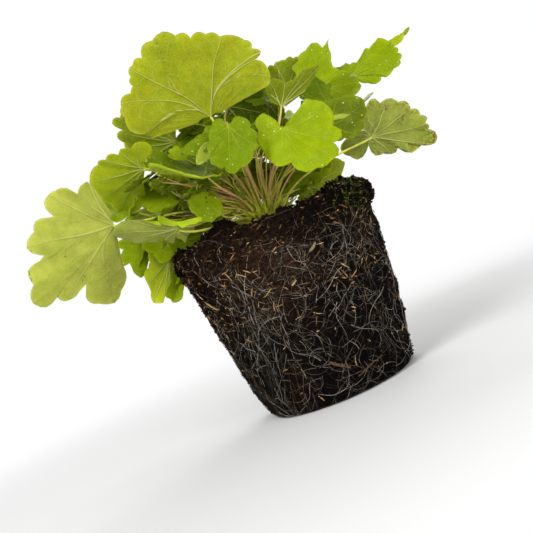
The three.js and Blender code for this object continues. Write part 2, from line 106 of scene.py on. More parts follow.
# One row per leaf. at, heading, pitch, roll, length and seed are those of part.mjs. Most places and
# directions, and many points of the edge rows, were worked out by scratch programs from points of the
# photograph that were read by eye: see "Open fault" in report.md. The visible edges are finer than the
# CAD outlines and don't follow them exactly.
LEAVES = [
    # upper left, the largest, tipped up so that its underside shows
    dict(at=(-9, -22, 176), heading=250, pitch=65, roll=20, length=52, seed=3, arrive=20, cup=0.06,
         ruffle=0.05, sweep=(38, 55), upper=LIME, under=PALE,
         forks={-3: (-2, 0.15), 0: (-1, 0.42), 3: (2, 0.3)}, tips=(-74, -50, -28, -4, 40, 70, 88),
         edge=[(-82, 8, 0), (-78, 33), (-72, 39), (-58, 49), (-52, 51), (-42, 47, 0.1), (-37, 47),
               (-32, 50), (-25, 52), (-18, 50), (-6, 53), (8, 49), (17, 45), (28, 46, 0.2), (38, 45, 0.12),
               (56, 47, 0.3), (63, 45, 0.7), (70, 41, 0.15), (80, 43, 0.15), (93, 38, 0), (98, 5)]),
    # far left, large, hanging edge-up
    dict(at=(-83, -34, 140), heading=195, pitch=5, roll=55, length=50, seed=5, arrive=20, ruffle=0.06,
         painted_shade=(-130, -66, 0.35), upper=LIME, under=LIT_GREYED,
         forks={-3: (-2, 0.2), -1: (-2, 0.42), 2: (3, 0.15)}, tips=(-78, -50, -34, 0, 42, 60, 76),
         edge=[(-90, 10, 0), (-88, 28, 0.15), (-83, 46, 0.38), (-68, 54, 0.22), (-59, 51, 0),
               (-57.5, 47, 0), (-55, 42, 0), (-53.5, 47, 0), (-53, 53, 0.36), (-42, 56, 0.45),
               (-33, 66, 0.14), (-25, 57, 0.3), (-14, 46, 0), (-11, 42, 0.45), (10, 43, 0.3), (23, 36, 0),
               (25, 33, 0.4), (48, 37, 0.2), (57, 34, 0), (59, 28, 0.35), (75, 28, 0.05), (80, 18, 0),
               (94, 7)]),
    # left, above that one
    dict(at=(-56, -18, 165), heading=165, pitch=5, roll=50, length=34, seed=7, arrive=10, rise=1,
         upper=LIME, under=LIT_OLIVE, tips=(-54, -38, -18, 4, 36, 64, 106),
         edge=[(-62, 20, 0.1), (-52, 36), (-40, 41), (-28, 39), (-16, 38, 0.15), (2, 37, 0.15), (23, 28),
               (36, 23), (57, 17), (91, 16), (120, 17), (138, 8)]),
    # low front left, its underside outward
    dict(at=(-49, -44, 123), heading=180, pitch=20, roll=30, length=38, seed=9, arrive=20, rise=-0.3,
         cup=0.12, upper=LIT_LIME, under=GREYED, curls=[(20, 165, 5.5, 2.0, -1)],
         tips=(-96, -55, -24, -8, 10, 60, 130),
         edge=[(-168, 8, 0.1), (-120, 9, 0.1), (-70, 12), (-55, 24), (-36, 26), (-29, 37, 0.1),
               (-20, 41, 0.1), (-1, 36, 0.1), (12, 23, 0.05), (36, 16, -0.05), (62, 23, -0.05),
               (74, 12, -0.05), (99, 11, -0.05), (123, 15, 0.1), (150, 19), (175, 8)]),
    # small, just above that one
    dict(at=(-25, -35, 121), heading=180, pitch=20, roll=-55, length=16, seed=35, cup=0.3, upper=LIME,
         under=OLIVE, tips=(-90, -64, -42, -20, 8, 30, 52),
         edge=[(-100, 4, 0.1), (-86, 8), (-62, 13), (-42, 17), (-24, 19), (-8, 18), (10, 15), (24, 12),
               (45, 6)]),
    # front, a shallow scoop in front of the stalks
    dict(at=(-24, -44, 145), heading=180, pitch=25, roll=-25, length=29, seed=2, cup=0.22, upper=SHADE,
         under=OLIVE, curls=[(30, 160, 1.3, 0.7, 1)],
         edge=[(-150, 9), (-120, 16), (-92, 22), (-60, 26), (-30, 24), (-8, 27), (12, 31), (30, 35),
               (46, 38), (58, 42), (67, 40), (76, 33), (92, 24), (112, 18), (140, 12), (160, 6)]),
    # front, small and narrow
    dict(at=(-11, -50, 162), heading=195, pitch=-10, roll=-55, length=21, seed=21, upper=FRESH, under=OLIVE,
         edge=[(-150, 4), (-122, 6, 0), (-87, 6, 0), (-40, 8, 0), (-17, 12, 0), (0, 21), (21, 21, 0.3),
               (30, 16, 0.3), (39, 14), (70, 7), (130, 4)]),
    # front, small, hanging
    dict(at=(-3, -62, 160), heading=265, pitch=-65, roll=-10, length=24, seed=12, arrive=10, rise=0,
         upper=FRESH, under=OLIVE, tips=(-155, -68, -42, -16, 5, 28, 65),
         edge=[(-165, 5, 0.1), (-149, 8), (-115, 9, 0.1), (-60, 14), (-42, 20), (-30, 27, 0.3),
               (-21, 27, 0.1), (-17, 31), (-5, 29), (17, 23), (35, 18), (59, 12), (108, 8), (125, 3)]),
    # front, the brightest, its upper side hanging outward
    dict(at=(23, -58, 148), heading=285, pitch=-60, roll=15, length=30, seed=11, arrive=80, cup=0.06,
         painted_shade=(-150, -50, 0.15), sweep=(20, 28), upper=LIT_LIME, under=PALE,
         tips=(-162, -94, -34, -5, 20, 44, 104),
         edge=[(-172, 3, 0.1), (-166, 15), (-117, 13, 0.15), (-69, 16, 0.15), (-46, 21), (-17, 24), (3, 35),
               (14, 37), (34, 30, 0.5), (53, 27, 0.15), (83, 26, 0.2), (111, 20, 0), (118, 3)]),
    # right, standing on edge
    dict(at=(73, -12, 130), heading=345, pitch=-20, roll=-60, length=36, seed=14, cup=0.08, spots=1.0,
         upper=GREYED, under=GREYED, tips=(-106, -62, -32, -6, 17, 50, 130),
         edge=[(-179, 3, 0.1), (-172, 12), (-130, 5, 0.1), (-122, 14), (-93, 19, 0.35), (-70, 21),
               (-48, 26, 0.3), (-31, 28), (-20, 31, 0.45), (-9, 32), (0, 33), (16, 38, 0.1), (19, 30, 0.35),
               (25, 17, 0.35), (62, 13), (113, 5, 0.1), (118, 9, 0.3), (138, 19), (159, 21), (176, 3)]),
    # upper right, ruffled
    dict(at=(60, 5, 170), heading=50, pitch=50, roll=35, length=34, seed=15, arrive=60, fold=-0.15,
         painted_shade=(-150, -40, 0.35), upper=LIME, under=GRASS, tips=(-114, -78, -32, -6, 12, 38, 70),
         edge=[(-135, 8), (-122, 14), (-103, 21), (-78, 23, 0.05), (-58, 24, 0), (-38, 21, -0.1),
               (-19, 19.5, 0), (-13, 23, 0), (-10, 29, -0.1), (-5, 39, -0.05), (1, 32, 0.35), (19, 35, 0.3),
               (31, 31, 0.35), (46, 24, 0.1), (54, 18, 0.1), (66, 15, 0.2), (82, 13, 0.2), (104, 10, 0.2),
               (130, 8, 0.2), (155, 6)]),
    # upper right, long and narrow
    dict(at=(83, 22, 174), heading=10, pitch=15, roll=60, length=40, seed=31, arrive=110, rise=1.5,
         upper=LIME, under=OLIVE, tips=(-82, -64, -42, -18, 2, 15, 26),
         edge=[(-111, 3), (-85, 8, 0.3), (-62, 18), (-48, 19, 0.35), (-41, 27, 0.3), (-28, 32, 0.3),
               (-16, 33, 0.3), (-7, 34, 0), (2, 36, 0.15), (14, 31, -0.05), (15, 26, 0), (16, 22, 0.05),
               (24, 21.5, -0.05), (24.5, 15, 0), (28, 11, 0), (50, 10, 0), (65, 12, 0), (86, 11, 0.1),
               (98, 13.5, 0.2), (114, 9, 0.1), (150, 4)]),
    # right, behind the edge-on leaf
    dict(at=(51, -20, 144), heading=350, pitch=5, roll=75, length=25, seed=16, upper=SHADED, under=SHADED,
         edge=[(-90, 8), (-64, 12), (-47, 17), (-37, 20), (-20, 19), (-4, 24, 0.15), (15, 24, 0.15),
               (26, 22), (41, 18), (60, 16), (90, 13), (130, 8)]),
    # middle, half folded
    dict(at=(31, -13, 167), heading=330, pitch=45, roll=-50, length=24, seed=17, cup=0.15, upper=SHADE,
         under=DULL, tips=(-60, -40, -5, 20, 32, 44, 62),
         edge=[(-75, 4), (-64, 9), (-58, 12), (-39, 16), (-24, 16, 0.1), (-3, 14, 0.1), (10, 17), (18, 21),
               (23, 28, 0.1), (31, 34, 0.1), (38, 25, 0), (45, 17, 0), (63, 3)]),
    # middle, behind the largest leaf
    dict(at=(3, 1, 183), heading=350, pitch=5, roll=-50, length=27, seed=18, upper=SHADE, under=SHADE),
    # low right, behind the rim of the root ball
    dict(at=(33, 43, 122), heading=10, pitch=5, roll=-55, length=27, seed=19, reach=NARROW, upper=OLIVE,
         under=OLIVE),
    dict(at=(20, 11, 118), heading=10, pitch=10, roll=10, length=13, seed=22, rise=-0.3, upper=GRASS,
         under=OLIVE),
    # low left, three that hang over the rim of the root ball
    dict(at=(-65, -2, 113), heading=210, pitch=-50, roll=90, length=26, seed=23, upper=OLIVE, under=LIT_OLIVE,
         tips=(-38, -18, -8, 2, 22, 58, 92),
         edge=[(-80, 4, 0.1), (-40, 8, 0.1), (-12, 19, 0), (-8, 28, 0.1), (3, 29, 0.1), (12, 24, 0),
               (26, 22), (45, 15, 0.1), (57, 13, 0.1), (90, 13, 0.1), (120, 5)]),
    dict(at=(-67, 14, 120), heading=215, pitch=-55, roll=-50, length=30, seed=33, upper=LIME, under=LIME,
         tips=(-70, -26, -9, 6, 17, 28, 40),
         edge=[(-40, 5, 0.1), (0, 12, 0), (6, 30, 0.1), (15, 35), (21, 38), (30, 34, 0.1), (36, 25, 0),
               (45, 14, 0), (93, 10, 0.1), (120, 4)]),
    dict(at=(-75, 11, 129), heading=205, pitch=-35, roll=-50, length=21, seed=24, upper=LIME, under=LIME,
         edge=[(-80, 8), (-67, 18), (-40, 16, 0.1), (-9, 24, 0.1), (-3, 19, 0), (11, 23, 0.1),
               (27, 29, 0.1), (32, 22, 0), (40, 12, 0.1), (60, 6)]),
    # left, under the largest leaf
    dict(at=(-34, 8, 177), heading=170, pitch=20, roll=55, length=42, seed=25, upper=GRASS, under=OLIVE,
         tips=(-50, -32, -8, 12, 27, 55, 82),
         edge=[(-62, 10, 0.1), (-50, 19), (-32, 26), (-14, 32), (0, 35), (11, 38, 0.1), (17, 34, 0.1),
               (20, 41), (30, 37), (41, 33), (60, 30), (82, 24), (92, 8)]),
    # left, three small ones among the stalks
    dict(at=(-78, 18, 155), heading=160, pitch=35, roll=-35, length=23, seed=26, upper=LIME, under=LIT_OLIVE),
    dict(at=(-36, -9, 140), heading=180, pitch=30, roll=35, length=28, seed=27, upper=LIME, under=LIT_OLIVE),
    dict(at=(-59, 38, 143), heading=165, pitch=15, roll=-35, length=28, seed=28, upper=LIME, under=LIT_OLIVE),
    # top, behind the ruffled leaf
    dict(at=(45, 34, 184), heading=325, pitch=45, roll=-75, length=23, seed=29, upper=DULL, under=DULL,
         edge=[(-110, 12), (-88, 16), (-66, 20), (-50, 18), (-38, 19, 0.1), (-24, 19), (-8, 20),
               (4, 21, 0.1), (8, 16, 0), (16, 12, 0), (30, 8, 0), (60, 5)]),
    # the far side of the dome
    dict(at=(-42, 88, 160), heading=125, pitch=10, roll=10, length=40, seed=41, upper=LIME, under=PALE),
    dict(at=(12, 48, 160), heading=80, pitch=10, roll=-10, length=42, seed=42, upper=LIME, under=PALE),
    dict(at=(60, 52, 152), heading=30, pitch=15, roll=5, length=38, seed=43, arrive=10, rise=0, frill=0,
         upper=LIME, under=PALE),
    dict(at=(-8, 30, 190), heading=150, pitch=40, roll=10, length=36, seed=44, upper=LIT_LIME, under=PALE),
]
LEAVES = [{**USUAL, **row} for row in LEAVES]

# ---------------------------------------------------------------------------------------------------------
# Numbers that look random but repeat


def scrambled(value):
    """A number between -1 and 1 that has no visible order as value changes."""
    value = np.sin(value) * 43758.5453
    return (value - np.floor(value)) * 2 - 1


def jitter(seed, index):
    """A repeatable number between -1 and 1 for a seed and an index, as in part.mjs."""
    return scrambled(seed * 127.1 + index * 311.7)


def cell_value(cells, seed):
    """A repeatable number between -1 and 1 for each whole-number cell of space."""
    return scrambled(cells @ np.array([127.1, 311.7, 74.7]) + seed * 53.3)


def lumpiness(points, spacing, seed=0):
    """Smooth noise between -1 and 1, with lumps about spacing apart."""
    at = points / spacing
    cell = np.floor(at)
    part = at - cell
    part = part * part * (3 - 2 * part)
    total = np.zeros(at.shape[:-1])
    for corner in itertools.product((0, 1), repeat=3):
        weight = np.prod(np.where(np.array(corner) == 1, part, 1 - part), axis=-1)
        total += weight * cell_value(cell + np.array(corner), seed)
    return total


def smoothstep(low, high, value):
    share = np.clip((value - low) / (high - low), 0, 1)
    return share * share * (3 - 2 * share)


def unit(vectors):
    return vectors / np.maximum(np.linalg.norm(vectors, axis=-1, keepdims=True), 1e-9)


def linear(colour):
    """Scene colour of a daylight colour, 0 to 255 in and 0 to 1 out."""
    share = np.asarray(colour, float) / 255
    return np.where(share <= 0.04045, share / 12.92, ((share + 0.055) / 1.055) ** 2.4)


# ---------------------------------------------------------------------------------------------------------
# Meshes


class Shell:
    """Points, faces and per-point values of one piece, gathered from parts."""

    def __init__(self):
        self.points, self.faces, self.kinds = [], [], []
        self.values = {}
        self.count = 0

    def add(self, points, faces, kind=0, **values):
        """Adds points of shape (n, 3), faces as lists of point numbers, and a value for each point."""
        points = np.asarray(points, float).reshape(-1, 3)
        for group in faces if isinstance(faces, list) else [faces]:
            self.faces.append(np.asarray(group) + self.count)
            self.kinds.append(np.full(len(group), kind))
        self.points.append(points)
        for name, value in values.items():
            wide = np.asarray(value, float)
            if wide.ndim < 2 and wide.size != len(points) or wide.ndim == 1 and wide.size == 3:
                wide = np.broadcast_to(wide, (len(points), wide.size))
            self.values.setdefault(name, []).append(wide.reshape(len(points), -1))
        self.count += len(points)

    def piece(self, name, materials, replaces=(), smooth=True):
        """Makes the Blender object, rides it on the plant's only body and gives it its materials."""
        mesh = bpy.data.meshes.new(name)
        faces = [face for group in self.faces for face in group.tolist()]
        mesh.from_pydata((np.vstack(self.points) * MM).tolist(), [], faces)
        for key, parts in self.values.items():
            value = np.vstack(parts)
            if key == "tint":
                layer = mesh.attributes.new(key, "FLOAT_COLOR", "POINT")
                layer.data.foreach_set("color", np.hstack([value, np.ones((len(value), 1))]).ravel())
            elif value.shape[1] == 3:
                layer = mesh.attributes.new(key, "FLOAT_VECTOR", "POINT")
                layer.data.foreach_set("vector", value.ravel())
            else:
                layer = mesh.attributes.new(key, "FLOAT", "POINT")
                layer.data.foreach_set("value", value.ravel())
        for material in materials:
            mesh.materials.append(material)
        mesh.polygons.foreach_set("material_index", np.concatenate(self.kinds).astype(np.int32))
        mesh.polygons.foreach_set("use_smooth", np.full(len(mesh.polygons), smooth))
        mesh.update()
        made = bpy.data.objects.new(name, mesh)
        bpy.context.scene.collection.objects.link(made)
        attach(made, "root")
        if replaces:
            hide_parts(*replaces)
        return made


def grid_faces(rows, columns, closed=False):
    """Four-sided faces between rows of points, each row closed to a ring or not."""
    row = np.arange(rows - 1)[:, None] * columns
    column = np.arange(columns if closed else columns - 1)[None, :]
    after = (column + 1) % columns
    faces = np.stack([row + column, row + after, row + columns + after, row + columns + column], axis=-1)
    return faces.reshape(-1, 4)


def closed_faces(rings, sides):
    """The wall between rings of points, and a fan at each end round a point that follows all the rings."""
    count = rings * sides
    last = count - sides
    near = np.arange(sides)
    after = (near + 1) % sides
    start = np.stack([np.full(sides, count), after, near], axis=-1)
    end = np.stack([np.full(sides, count + 1), last + near, last + after], axis=-1)
    return [grid_faces(rings, sides, closed=True), start, end]


def tube(path, radius, sides, hint):
    """Points and faces of a closed round tube along a path. hint is a direction the path never takes."""
    path = np.asarray(path, float)
    along = unit(np.gradient(path, axis=0))
    across = unit(np.cross(along, hint))
    up = np.cross(along, across)
    turn = np.linspace(0, 2 * np.pi, sides, endpoint=False)
    radius = np.broadcast_to(radius, (len(path),))[:, None, None]
    ring = np.cos(turn)[None, :, None] * across[:, None] + np.sin(turn)[None, :, None] * up[:, None]
    points = (path[:, None] + radius * ring).reshape(-1, 3)
    return np.vstack([points, path[:1], path[-1:]]), closed_faces(len(path), sides)


# ---------------------------------------------------------------------------------------------------------
# Materials


class Graph:
    """A material's nodes. An input is a number, a colour or another node's output."""

    def __init__(self, name):
        self.material = bpy.data.materials.new(name)
        self.material.use_nodes = True
        self.tree = self.material.node_tree
        self.shader = self.tree.nodes["Principled BSDF"]

    def put(self, socket, value):
        if isinstance(value, bpy.types.NodeSocket):
            self.tree.links.new(value, socket)
        else:
            socket.default_value = value

    def node(self, kind, inputs=(), output=0, **settings):
        made = self.tree.nodes.new("ShaderNode" + kind)
        for name, value in settings.items():
            setattr(made, name, value)
        for key, value in dict(inputs).items():
            self.put(made.inputs[key], value)
        return made.outputs[output]

    def maths(self, operation, *values):
        return self.node("Math", enumerate(values), operation=operation)

    def between(self, value, low, high, start=0.0, end=1.0):
        """start where value is low, end where it is high, and smooth between."""
        inputs = {"Value": value, "From Min": low, "From Max": high, "To Min": start, "To Max": end}
        return self.node("MapRange", inputs, interpolation_type="SMOOTHSTEP")

    def mix(self, share, first, second, blend="MIX"):
        inputs = {0: share, 6: first, 7: second}
        return self.node("Mix", inputs, output=2, data_type="RGBA", blend_type=blend)

    def stain(self, share, colour, other):
        """colour, and another colour as far as share says."""
        return self.mix(share, colour, (*other, 1))

    def tone(self, share, colour, factor):
        """colour, multiplied by factor as far as share says."""
        return self.mix(share, colour, self.mix(1.0, colour, (*factor, 1), "MULTIPLY"))

    def attribute(self, name, output="Fac"):
        return self.node("Attribute", output=output, attribute_name=name)

    def place(self):
        return self.node("TexCoord", output="Object")

    def noise(self, spacing, detail=2.0, roughness=0.5):
        """Noise between 0 and 1, spacing in millimetres."""
        inputs = {"Vector": self.place(), "Scale": 1 / (spacing * MM), "Detail": detail,
                  "Roughness": roughness}
        return self.node("TexNoise", inputs, output="Fac")

    def patches(self, spacing, detail, low, high, most=1.0, roughness=0.5):
        """0 where the noise is low, most where it is high."""
        return self.between(self.noise(spacing, detail, roughness), low, high, 0.0, most)

    def cells(self, spacing, feature="F1", output="Distance"):
        inputs = {"Vector": self.place(), "Scale": 1 / (spacing * MM)}
        return self.node("TexVoronoi", inputs, output=output, feature=feature)

    def bump(self, height, depth, under=None):
        """Relief of a height between 0 and 1, depth in millimetres."""
        inputs = {"Height": height, "Distance": depth * MM, "Strength": 1.0}
        if under is not None:
            inputs["Normal"] = under
        return self.node("Bump", inputs, output="Normal")

    def finish(self, **inputs):
        """Sets the shader's sockets, named with _ for a space."""
        for key, value in inputs.items():
            self.put(self.shader.inputs[key.replace("_", " ")], value)
        return self.material


# How strongly the veins show on each side of a blade, their relief, how dark the painted shadow beside
# the main veins is, whether pale specks are painted on as glints, and the range of its roughness
SIDES = {
    "leaf_upper": {"pale": (0.46, 0.53, 0.05), "main": 0.24, "side": 0.1, "net": 0.05, "rib_shadow": 0.1,
                   "raised": -1.0, "side_height": 0.6, "depth": 0.13, "rough": (0.34, 0.5), "gloss": 0.05,
                   "painted_glints": True},
    "leaf_under": {"pale": (0.60, 0.62, 0.20), "main": 0.6, "side": 0.12, "net": 0.07, "rib_shadow": 0.4,
                   "raised": 1.0, "side_height": 0.35, "depth": 0.19, "rough": (0.5, 0.68), "gloss": 0.03,
                   "painted_glints": False},
}
DEEP_GREEN, BROWN_SPOT = (0.25, 0.36, 0.02), (0.13, 0.085, 0.028)
# The last of these darkens the blade beside its main veins: a painted shadow of the raised ribs.
DARKER, LIGHTER, RIB_SHADOW_TONE = (0.62, 0.72, 0.6), (1.3, 1.28, 1.5), (0.7, 0.76, 0.6)
# The next two are painted highlights: pale specks on the upper side that stand for small glints.
GLINT_COLOUR, FAINT_GLINT_COLOUR = (0.74, 0.80, 0.36), (0.66, 0.74, 0.3)
NET_SPACING, FINE_NET_SPACING, GLINT_SPACING = 2.1, 0.9, 3.4


def leaf_material(name):
    """A blade's skin. veins holds, at each point, the distance to the nearest main vein in millimetres, the
    side veins' phase, and the share of the way to the edge."""
    g = Graph(name)
    look = SIDES[name]
    near, phase, share = (g.node("SeparateXYZ", {0: g.attribute("veins", "Vector")}, output=i)
                          for i in range(3))
    size = g.attribute("size")
    tint = g.attribute("tint", "Color")

    main_width = g.maths("MULTIPLY", size, g.between(share, 0.0, 1.0, 0.85, 0.28))
    main = g.between(g.maths("DIVIDE", near, main_width), 0.35, 1.0, 1.0, 0.0)
    off_line = g.maths("ABSOLUTE", g.maths("SUBTRACT", g.maths("FRACT", phase), 0.5))
    side_width = g.between(near, 0.0, 9.0, 0.075, 0.035)
    side = g.between(g.maths("DIVIDE", off_line, side_width), 0.3, 1.0, 1.0, 0.0)
    side = g.maths("MULTIPLY", side, g.between(share, 0.04, 0.16))
    net = g.between(g.cells(NET_SPACING, "DISTANCE_TO_EDGE"), 0.02, 0.16, 1.0, 0.0)
    fine_net = g.between(g.cells(FINE_NET_SPACING, "DISTANCE_TO_EDGE"), 0.02, 0.2, 1.0, 0.0)

    colour = g.stain(g.patches(11, 3.0, 0.35, 0.7, 0.3), tint, DEEP_GREEN)
    colour = g.tone(g.patches(5, 3.0, 0.38, 0.68, 0.34), colour, DARKER)
    colour = g.tone(g.patches(1.1, 3.0, 0.35, 0.7, 0.3, 0.6), colour, LIGHTER)
    # Painted shadow: the blade is darkened beside each main vein, as if its raised rib cast shade.
    rib_shadow = g.between(g.maths("DIVIDE", near, main_width), 1.0, 3.4, look["rib_shadow"], 0.0)
    colour = g.tone(rib_shadow, colour, RIB_SHADOW_TONE)
    for line, show in ((net, "net"), (side, "side"), (main, "main")):
        colour = g.stain(g.maths("MULTIPLY", line, look[show]), colour, look["pale"])
    # Painted highlights: pale specks and fainter flecks stand for small glints of light on the upper side.
    if look["painted_glints"]:
        glint_dots = g.between(g.cells(GLINT_SPACING), 0.07, 0.17, 1.0, 0.0)
        chosen = g.between(g.cells(GLINT_SPACING, output="Color"), 0.62, 0.66)
        glints = g.maths("MULTIPLY", glint_dots, chosen)
        colour = g.stain(g.maths("MULTIPLY", glints, 0.75), colour, GLINT_COLOUR)
        faint_glints = g.between(g.cells(1.3), 0.08, 0.2, 1.0, 0.0)
        gathered = g.patches(7, 2.0, 0.5, 0.62, 0.55)
        colour = g.stain(g.maths("MULTIPLY", faint_glints, gathered), colour, FAINT_GLINT_COLOUR)
    blotch = g.patches(1.7, 3.0, 0.46, 0.58, roughness=0.6)
    colour = g.stain(g.maths("MULTIPLY", blotch, g.attribute("spots")), colour, BROWN_SPOT)

    lines = g.maths("MULTIPLY", main, 0.9)
    for line, height in ((side, look["side_height"]), (net, 0.3), (fine_net, 0.12)):
        lines = g.maths("ADD", lines, g.maths("MULTIPLY", line, height))
    lines = g.maths("MULTIPLY", lines, look["raised"])
    grain = g.maths("MULTIPLY", g.noise(0.5, 2.0), 0.2)
    normal = g.bump(g.maths("ADD", lines, grain), look["depth"])
    rough = g.between(g.noise(2.5, 3.0), 0.3, 0.7, *look["rough"])
    return g.finish(Base_Color=colour, Roughness=rough, Normal=normal, Specular_IOR_Level=look["gloss"],
                    Subsurface_Weight=0.25, Subsurface_Radius=(1.1, 1.2, 0.25), Subsurface_Scale=MM)


def stalk_material():
    """Fleshy and finely ribbed, its colour set point by point from base to tip."""
    g = Graph("stalk_skin")
    blush, green = (0.46, 0.28, 0.14), (0.52, 0.52, 0.20)
    colour = g.stain(g.patches(3.0, 3.0, 0.4, 0.65, 0.35), g.attribute("tint", "Color"), blush)
    colour = g.stain(g.patches(0.8, 3.0, 0.4, 0.7, 0.3), colour, green)
    normal = g.bump(g.noise(0.45, 3.0), 0.12)
    return g.finish(Base_Color=colour, Roughness=0.55, Normal=normal, Specular_IOR_Level=0.35,
                    Subsurface_Weight=0.15, Subsurface_Radius=(1.0, 0.8, 0.3), Subsurface_Scale=MM)


def crown_material():
    """Old leaf bases: brown and papery where they have dried, green where they still grow."""
    g = Graph("crown_scales")
    bark = (0.12, 0.08, 0.03)
    colour = g.stain(g.patches(1.6, 4.0, 0.5, 0.7, 0.4), g.attribute("tint", "Color"), bark)
    normal = g.bump(g.noise(0.6, 4.0), 0.3)
    return g.finish(Base_Color=colour, Roughness=0.75, Normal=normal, Specular_IOR_Level=0.25)


def soil_material():
    """Moist peat: black crumbs and brown fibres, matt with a few damp glints."""
    g = Graph("peat")
    black, fibre = (0.004, 0.003, 0.003, 1), (0.04, 0.025, 0.015)
    colour = g.mix(g.patches(1.3, 4.0, 0.36, 0.66, roughness=0.65), black, g.attribute("tint", "Color"))
    colour = g.stain(g.patches(0.55, 3.0, 0.62, 0.74, 0.4, 0.6), colour, fibre)
    height = g.maths("ADD", g.maths("MULTIPLY", g.noise(1.3, 5.0, 0.7), 0.7), g.noise(0.4, 3.0, 0.6))
    normal = g.bump(height, 0.6)
    rough = g.between(g.noise(0.9, 2.0), 0.3, 0.7, 0.6, 0.95)
    return g.finish(Base_Color=colour, Roughness=rough, Normal=normal, Specular_IOR_Level=0.01)


def fleck_material(name, spacing, dark, roughness):
    """Chips, crumbs, roots and moss: each one's own colour, dirtied with specks of soil."""
    g = Graph(name)
    dirt = (0.012, 0.009, 0.007)
    colour = g.stain(g.patches(spacing, 4.0, 0.45, 0.68, dark, 0.6), g.attribute("tint", "Color"), dirt)
    normal = g.bump(g.noise(spacing / 2, 3.0), 0.15)
    return g.finish(Base_Color=colour, Roughness=roughness, Normal=normal, Specular_IOR_Level=0.02)


# ---------------------------------------------------------------------------------------------------------
# Leaves

# An edge is a row of rounded scallops that meet in notches. Where a leaf's row has edge, it holds the
# notches as angle in the blade's plane, reach, and how far the scallop after it swells, as a share of its
# chord. Elsewhere each lobe of the CAD blade gets three scallops.
SCALLOP = {"swell": 0.28, "round": 0.85, "notch": 0.035, "cleft": 0.11, "uneven": 1.6}
# Blades longer than the first number: steps of a scallop, points beside each main vein in degrees, and the
# distance between rings.
FINENESS = (
    (41, 6, (-1.7, -0.6, 0, 0.6, 1.7), 1.5),
    (25, 5, (-1.8, 0, 1.8), 1.5),
    (18, 5, (0,), 1.3),
    (0, 3, (), 1.8),
)
FEWEST_RINGS = 6
SIDE_VEINS = {"count": 5.5, "slant": 2.6, "wobble": 0.22}
WANDER = 2.5                       # how far veins stray from their even course, in degrees
PUFF = 0.02                        # how far the blade rises between two veins, half of what part.mjs has
QUILT = 0.0075                     # how far the blade swells between side veins, as a share of its length
CRUMPLE, FINE_CRUMPLE = (0.026, 17), (0.009, 7)  # height as a share of the length, and distance apart
RIB = {"height": 0.34, "width": 0.8}
RIB_LENGTH = 50                    # of the blade that these ribs are for; smaller ones have finer ribs
FOLD_ROUND = 2.5                   # how gently a folded blade bends along its midrib
SHEET = 0.36                       # the visible blade's thickness
LOBE_SPAN = 46                     # of an ordinary lobe, in degrees
EVEN_OUT = 14                      # degrees over which the notches are evened out for the blade's swells
# The second number also sets how a part painted darker as shade, and a rolled rim painted lighter, fade in.
CURL_BLUR, PAINTED_TONE_BLUR = 8, 12       # degrees over which a rolled rim and a darker part begin and end


def blade_axes(leaf):
    """Directions of a blade's midrib, side and upper face."""
    heading, pitch, roll = (math.radians(leaf[key]) for key in ("heading", "pitch", "roll"))
    midrib = np.array([math.cos(pitch) * math.cos(heading), math.cos(pitch) * math.sin(heading),
                       math.sin(pitch)])
    level = np.array([-math.sin(heading), math.cos(heading), 0])
    up = np.cross(midrib, level)
    side = level * math.cos(roll) + up * math.sin(roll)
    top = up * math.cos(roll) - level * math.sin(roll)
    return midrib, side, top


def blade_rim(leaf):
    """Angle and reach of a plain blade's first edge, its tips, the clefts between, and last edge."""
    reach = leaf.get("reach", LOBE_REACH)
    vary = 0 if "reach" in leaf else VARY
    tips = [(angle, share * leaf["length"] * (1 + vary * jitter(leaf["seed"], i)))
            for i, (angle, share) in enumerate(zip(LOBE_ANGLES, reach))]
    rim = [(tips[0][0] - EDGE_ANGLE, tips[0][1] * EDGE_REACH), tips[0]]
    for i, (before, tip) in enumerate(zip(tips, tips[1:])):
        depth = CLEFT * (1 + VARY * jitter(leaf["seed"], i + 8))
        rim += [((before[0] + tip[0]) / 2, (before[1] + tip[1]) / 2 * depth), tip]
    return np.array([*rim, (tips[6][0] + EDGE_ANGLE, tips[6][1] * EDGE_REACH)])


def cad_edge(leaf, lobe):
    """Angle in degrees and reach of the CAD blade's edge, its teeth left out, at each lobe coordinate."""
    rim = blade_rim(leaf)
    along = (lobe + 3.5) * 2
    i = np.clip(np.floor(along).astype(int), 0, 13)
    part = along - i
    rising = np.sin(np.pi / 2 * part) ** ROUNDNESS
    falling = 1 - np.sin(np.pi / 2 * (1 - part)) ** ROUNDNESS
    weight = np.where(i % 2 == 0, rising, falling)
    angle = rim[i, 0] * (1 - part) + rim[i + 1, 0] * part
    return angle, rim[i, 1] * (1 - weight) + rim[i + 1, 1] * weight


def blade_notches(leaf):
    """Where the scallops meet, as angle in degrees, reach, and swell of the scallop that follows."""
    if "edge" in leaf:
        return np.array([(*row, SCALLOP["swell"])[:3] for row in leaf["edge"]], float)
    lobe = np.arange(-21, 22, 2) / 6
    angle, reach = cad_edge(leaf, lobe)
    order = np.arange(len(lobe))
    inside = (order > 0) & (order < len(lobe) - 1)
    cleft = np.abs(lobe - np.round(lobe)) > 0.4
    depth = np.where(cleft, SCALLOP["cleft"], SCALLOP["notch"])
    depth = depth * (1 + 0.6 * jitter(leaf["seed"], 40 + order))
    angle = angle + inside * SCALLOP["uneven"] * jitter(leaf["seed"], 70 + order)
    return np.stack([angle, reach * (1 - depth * inside), SCALLOP["swell"] + 0 * reach], axis=-1)


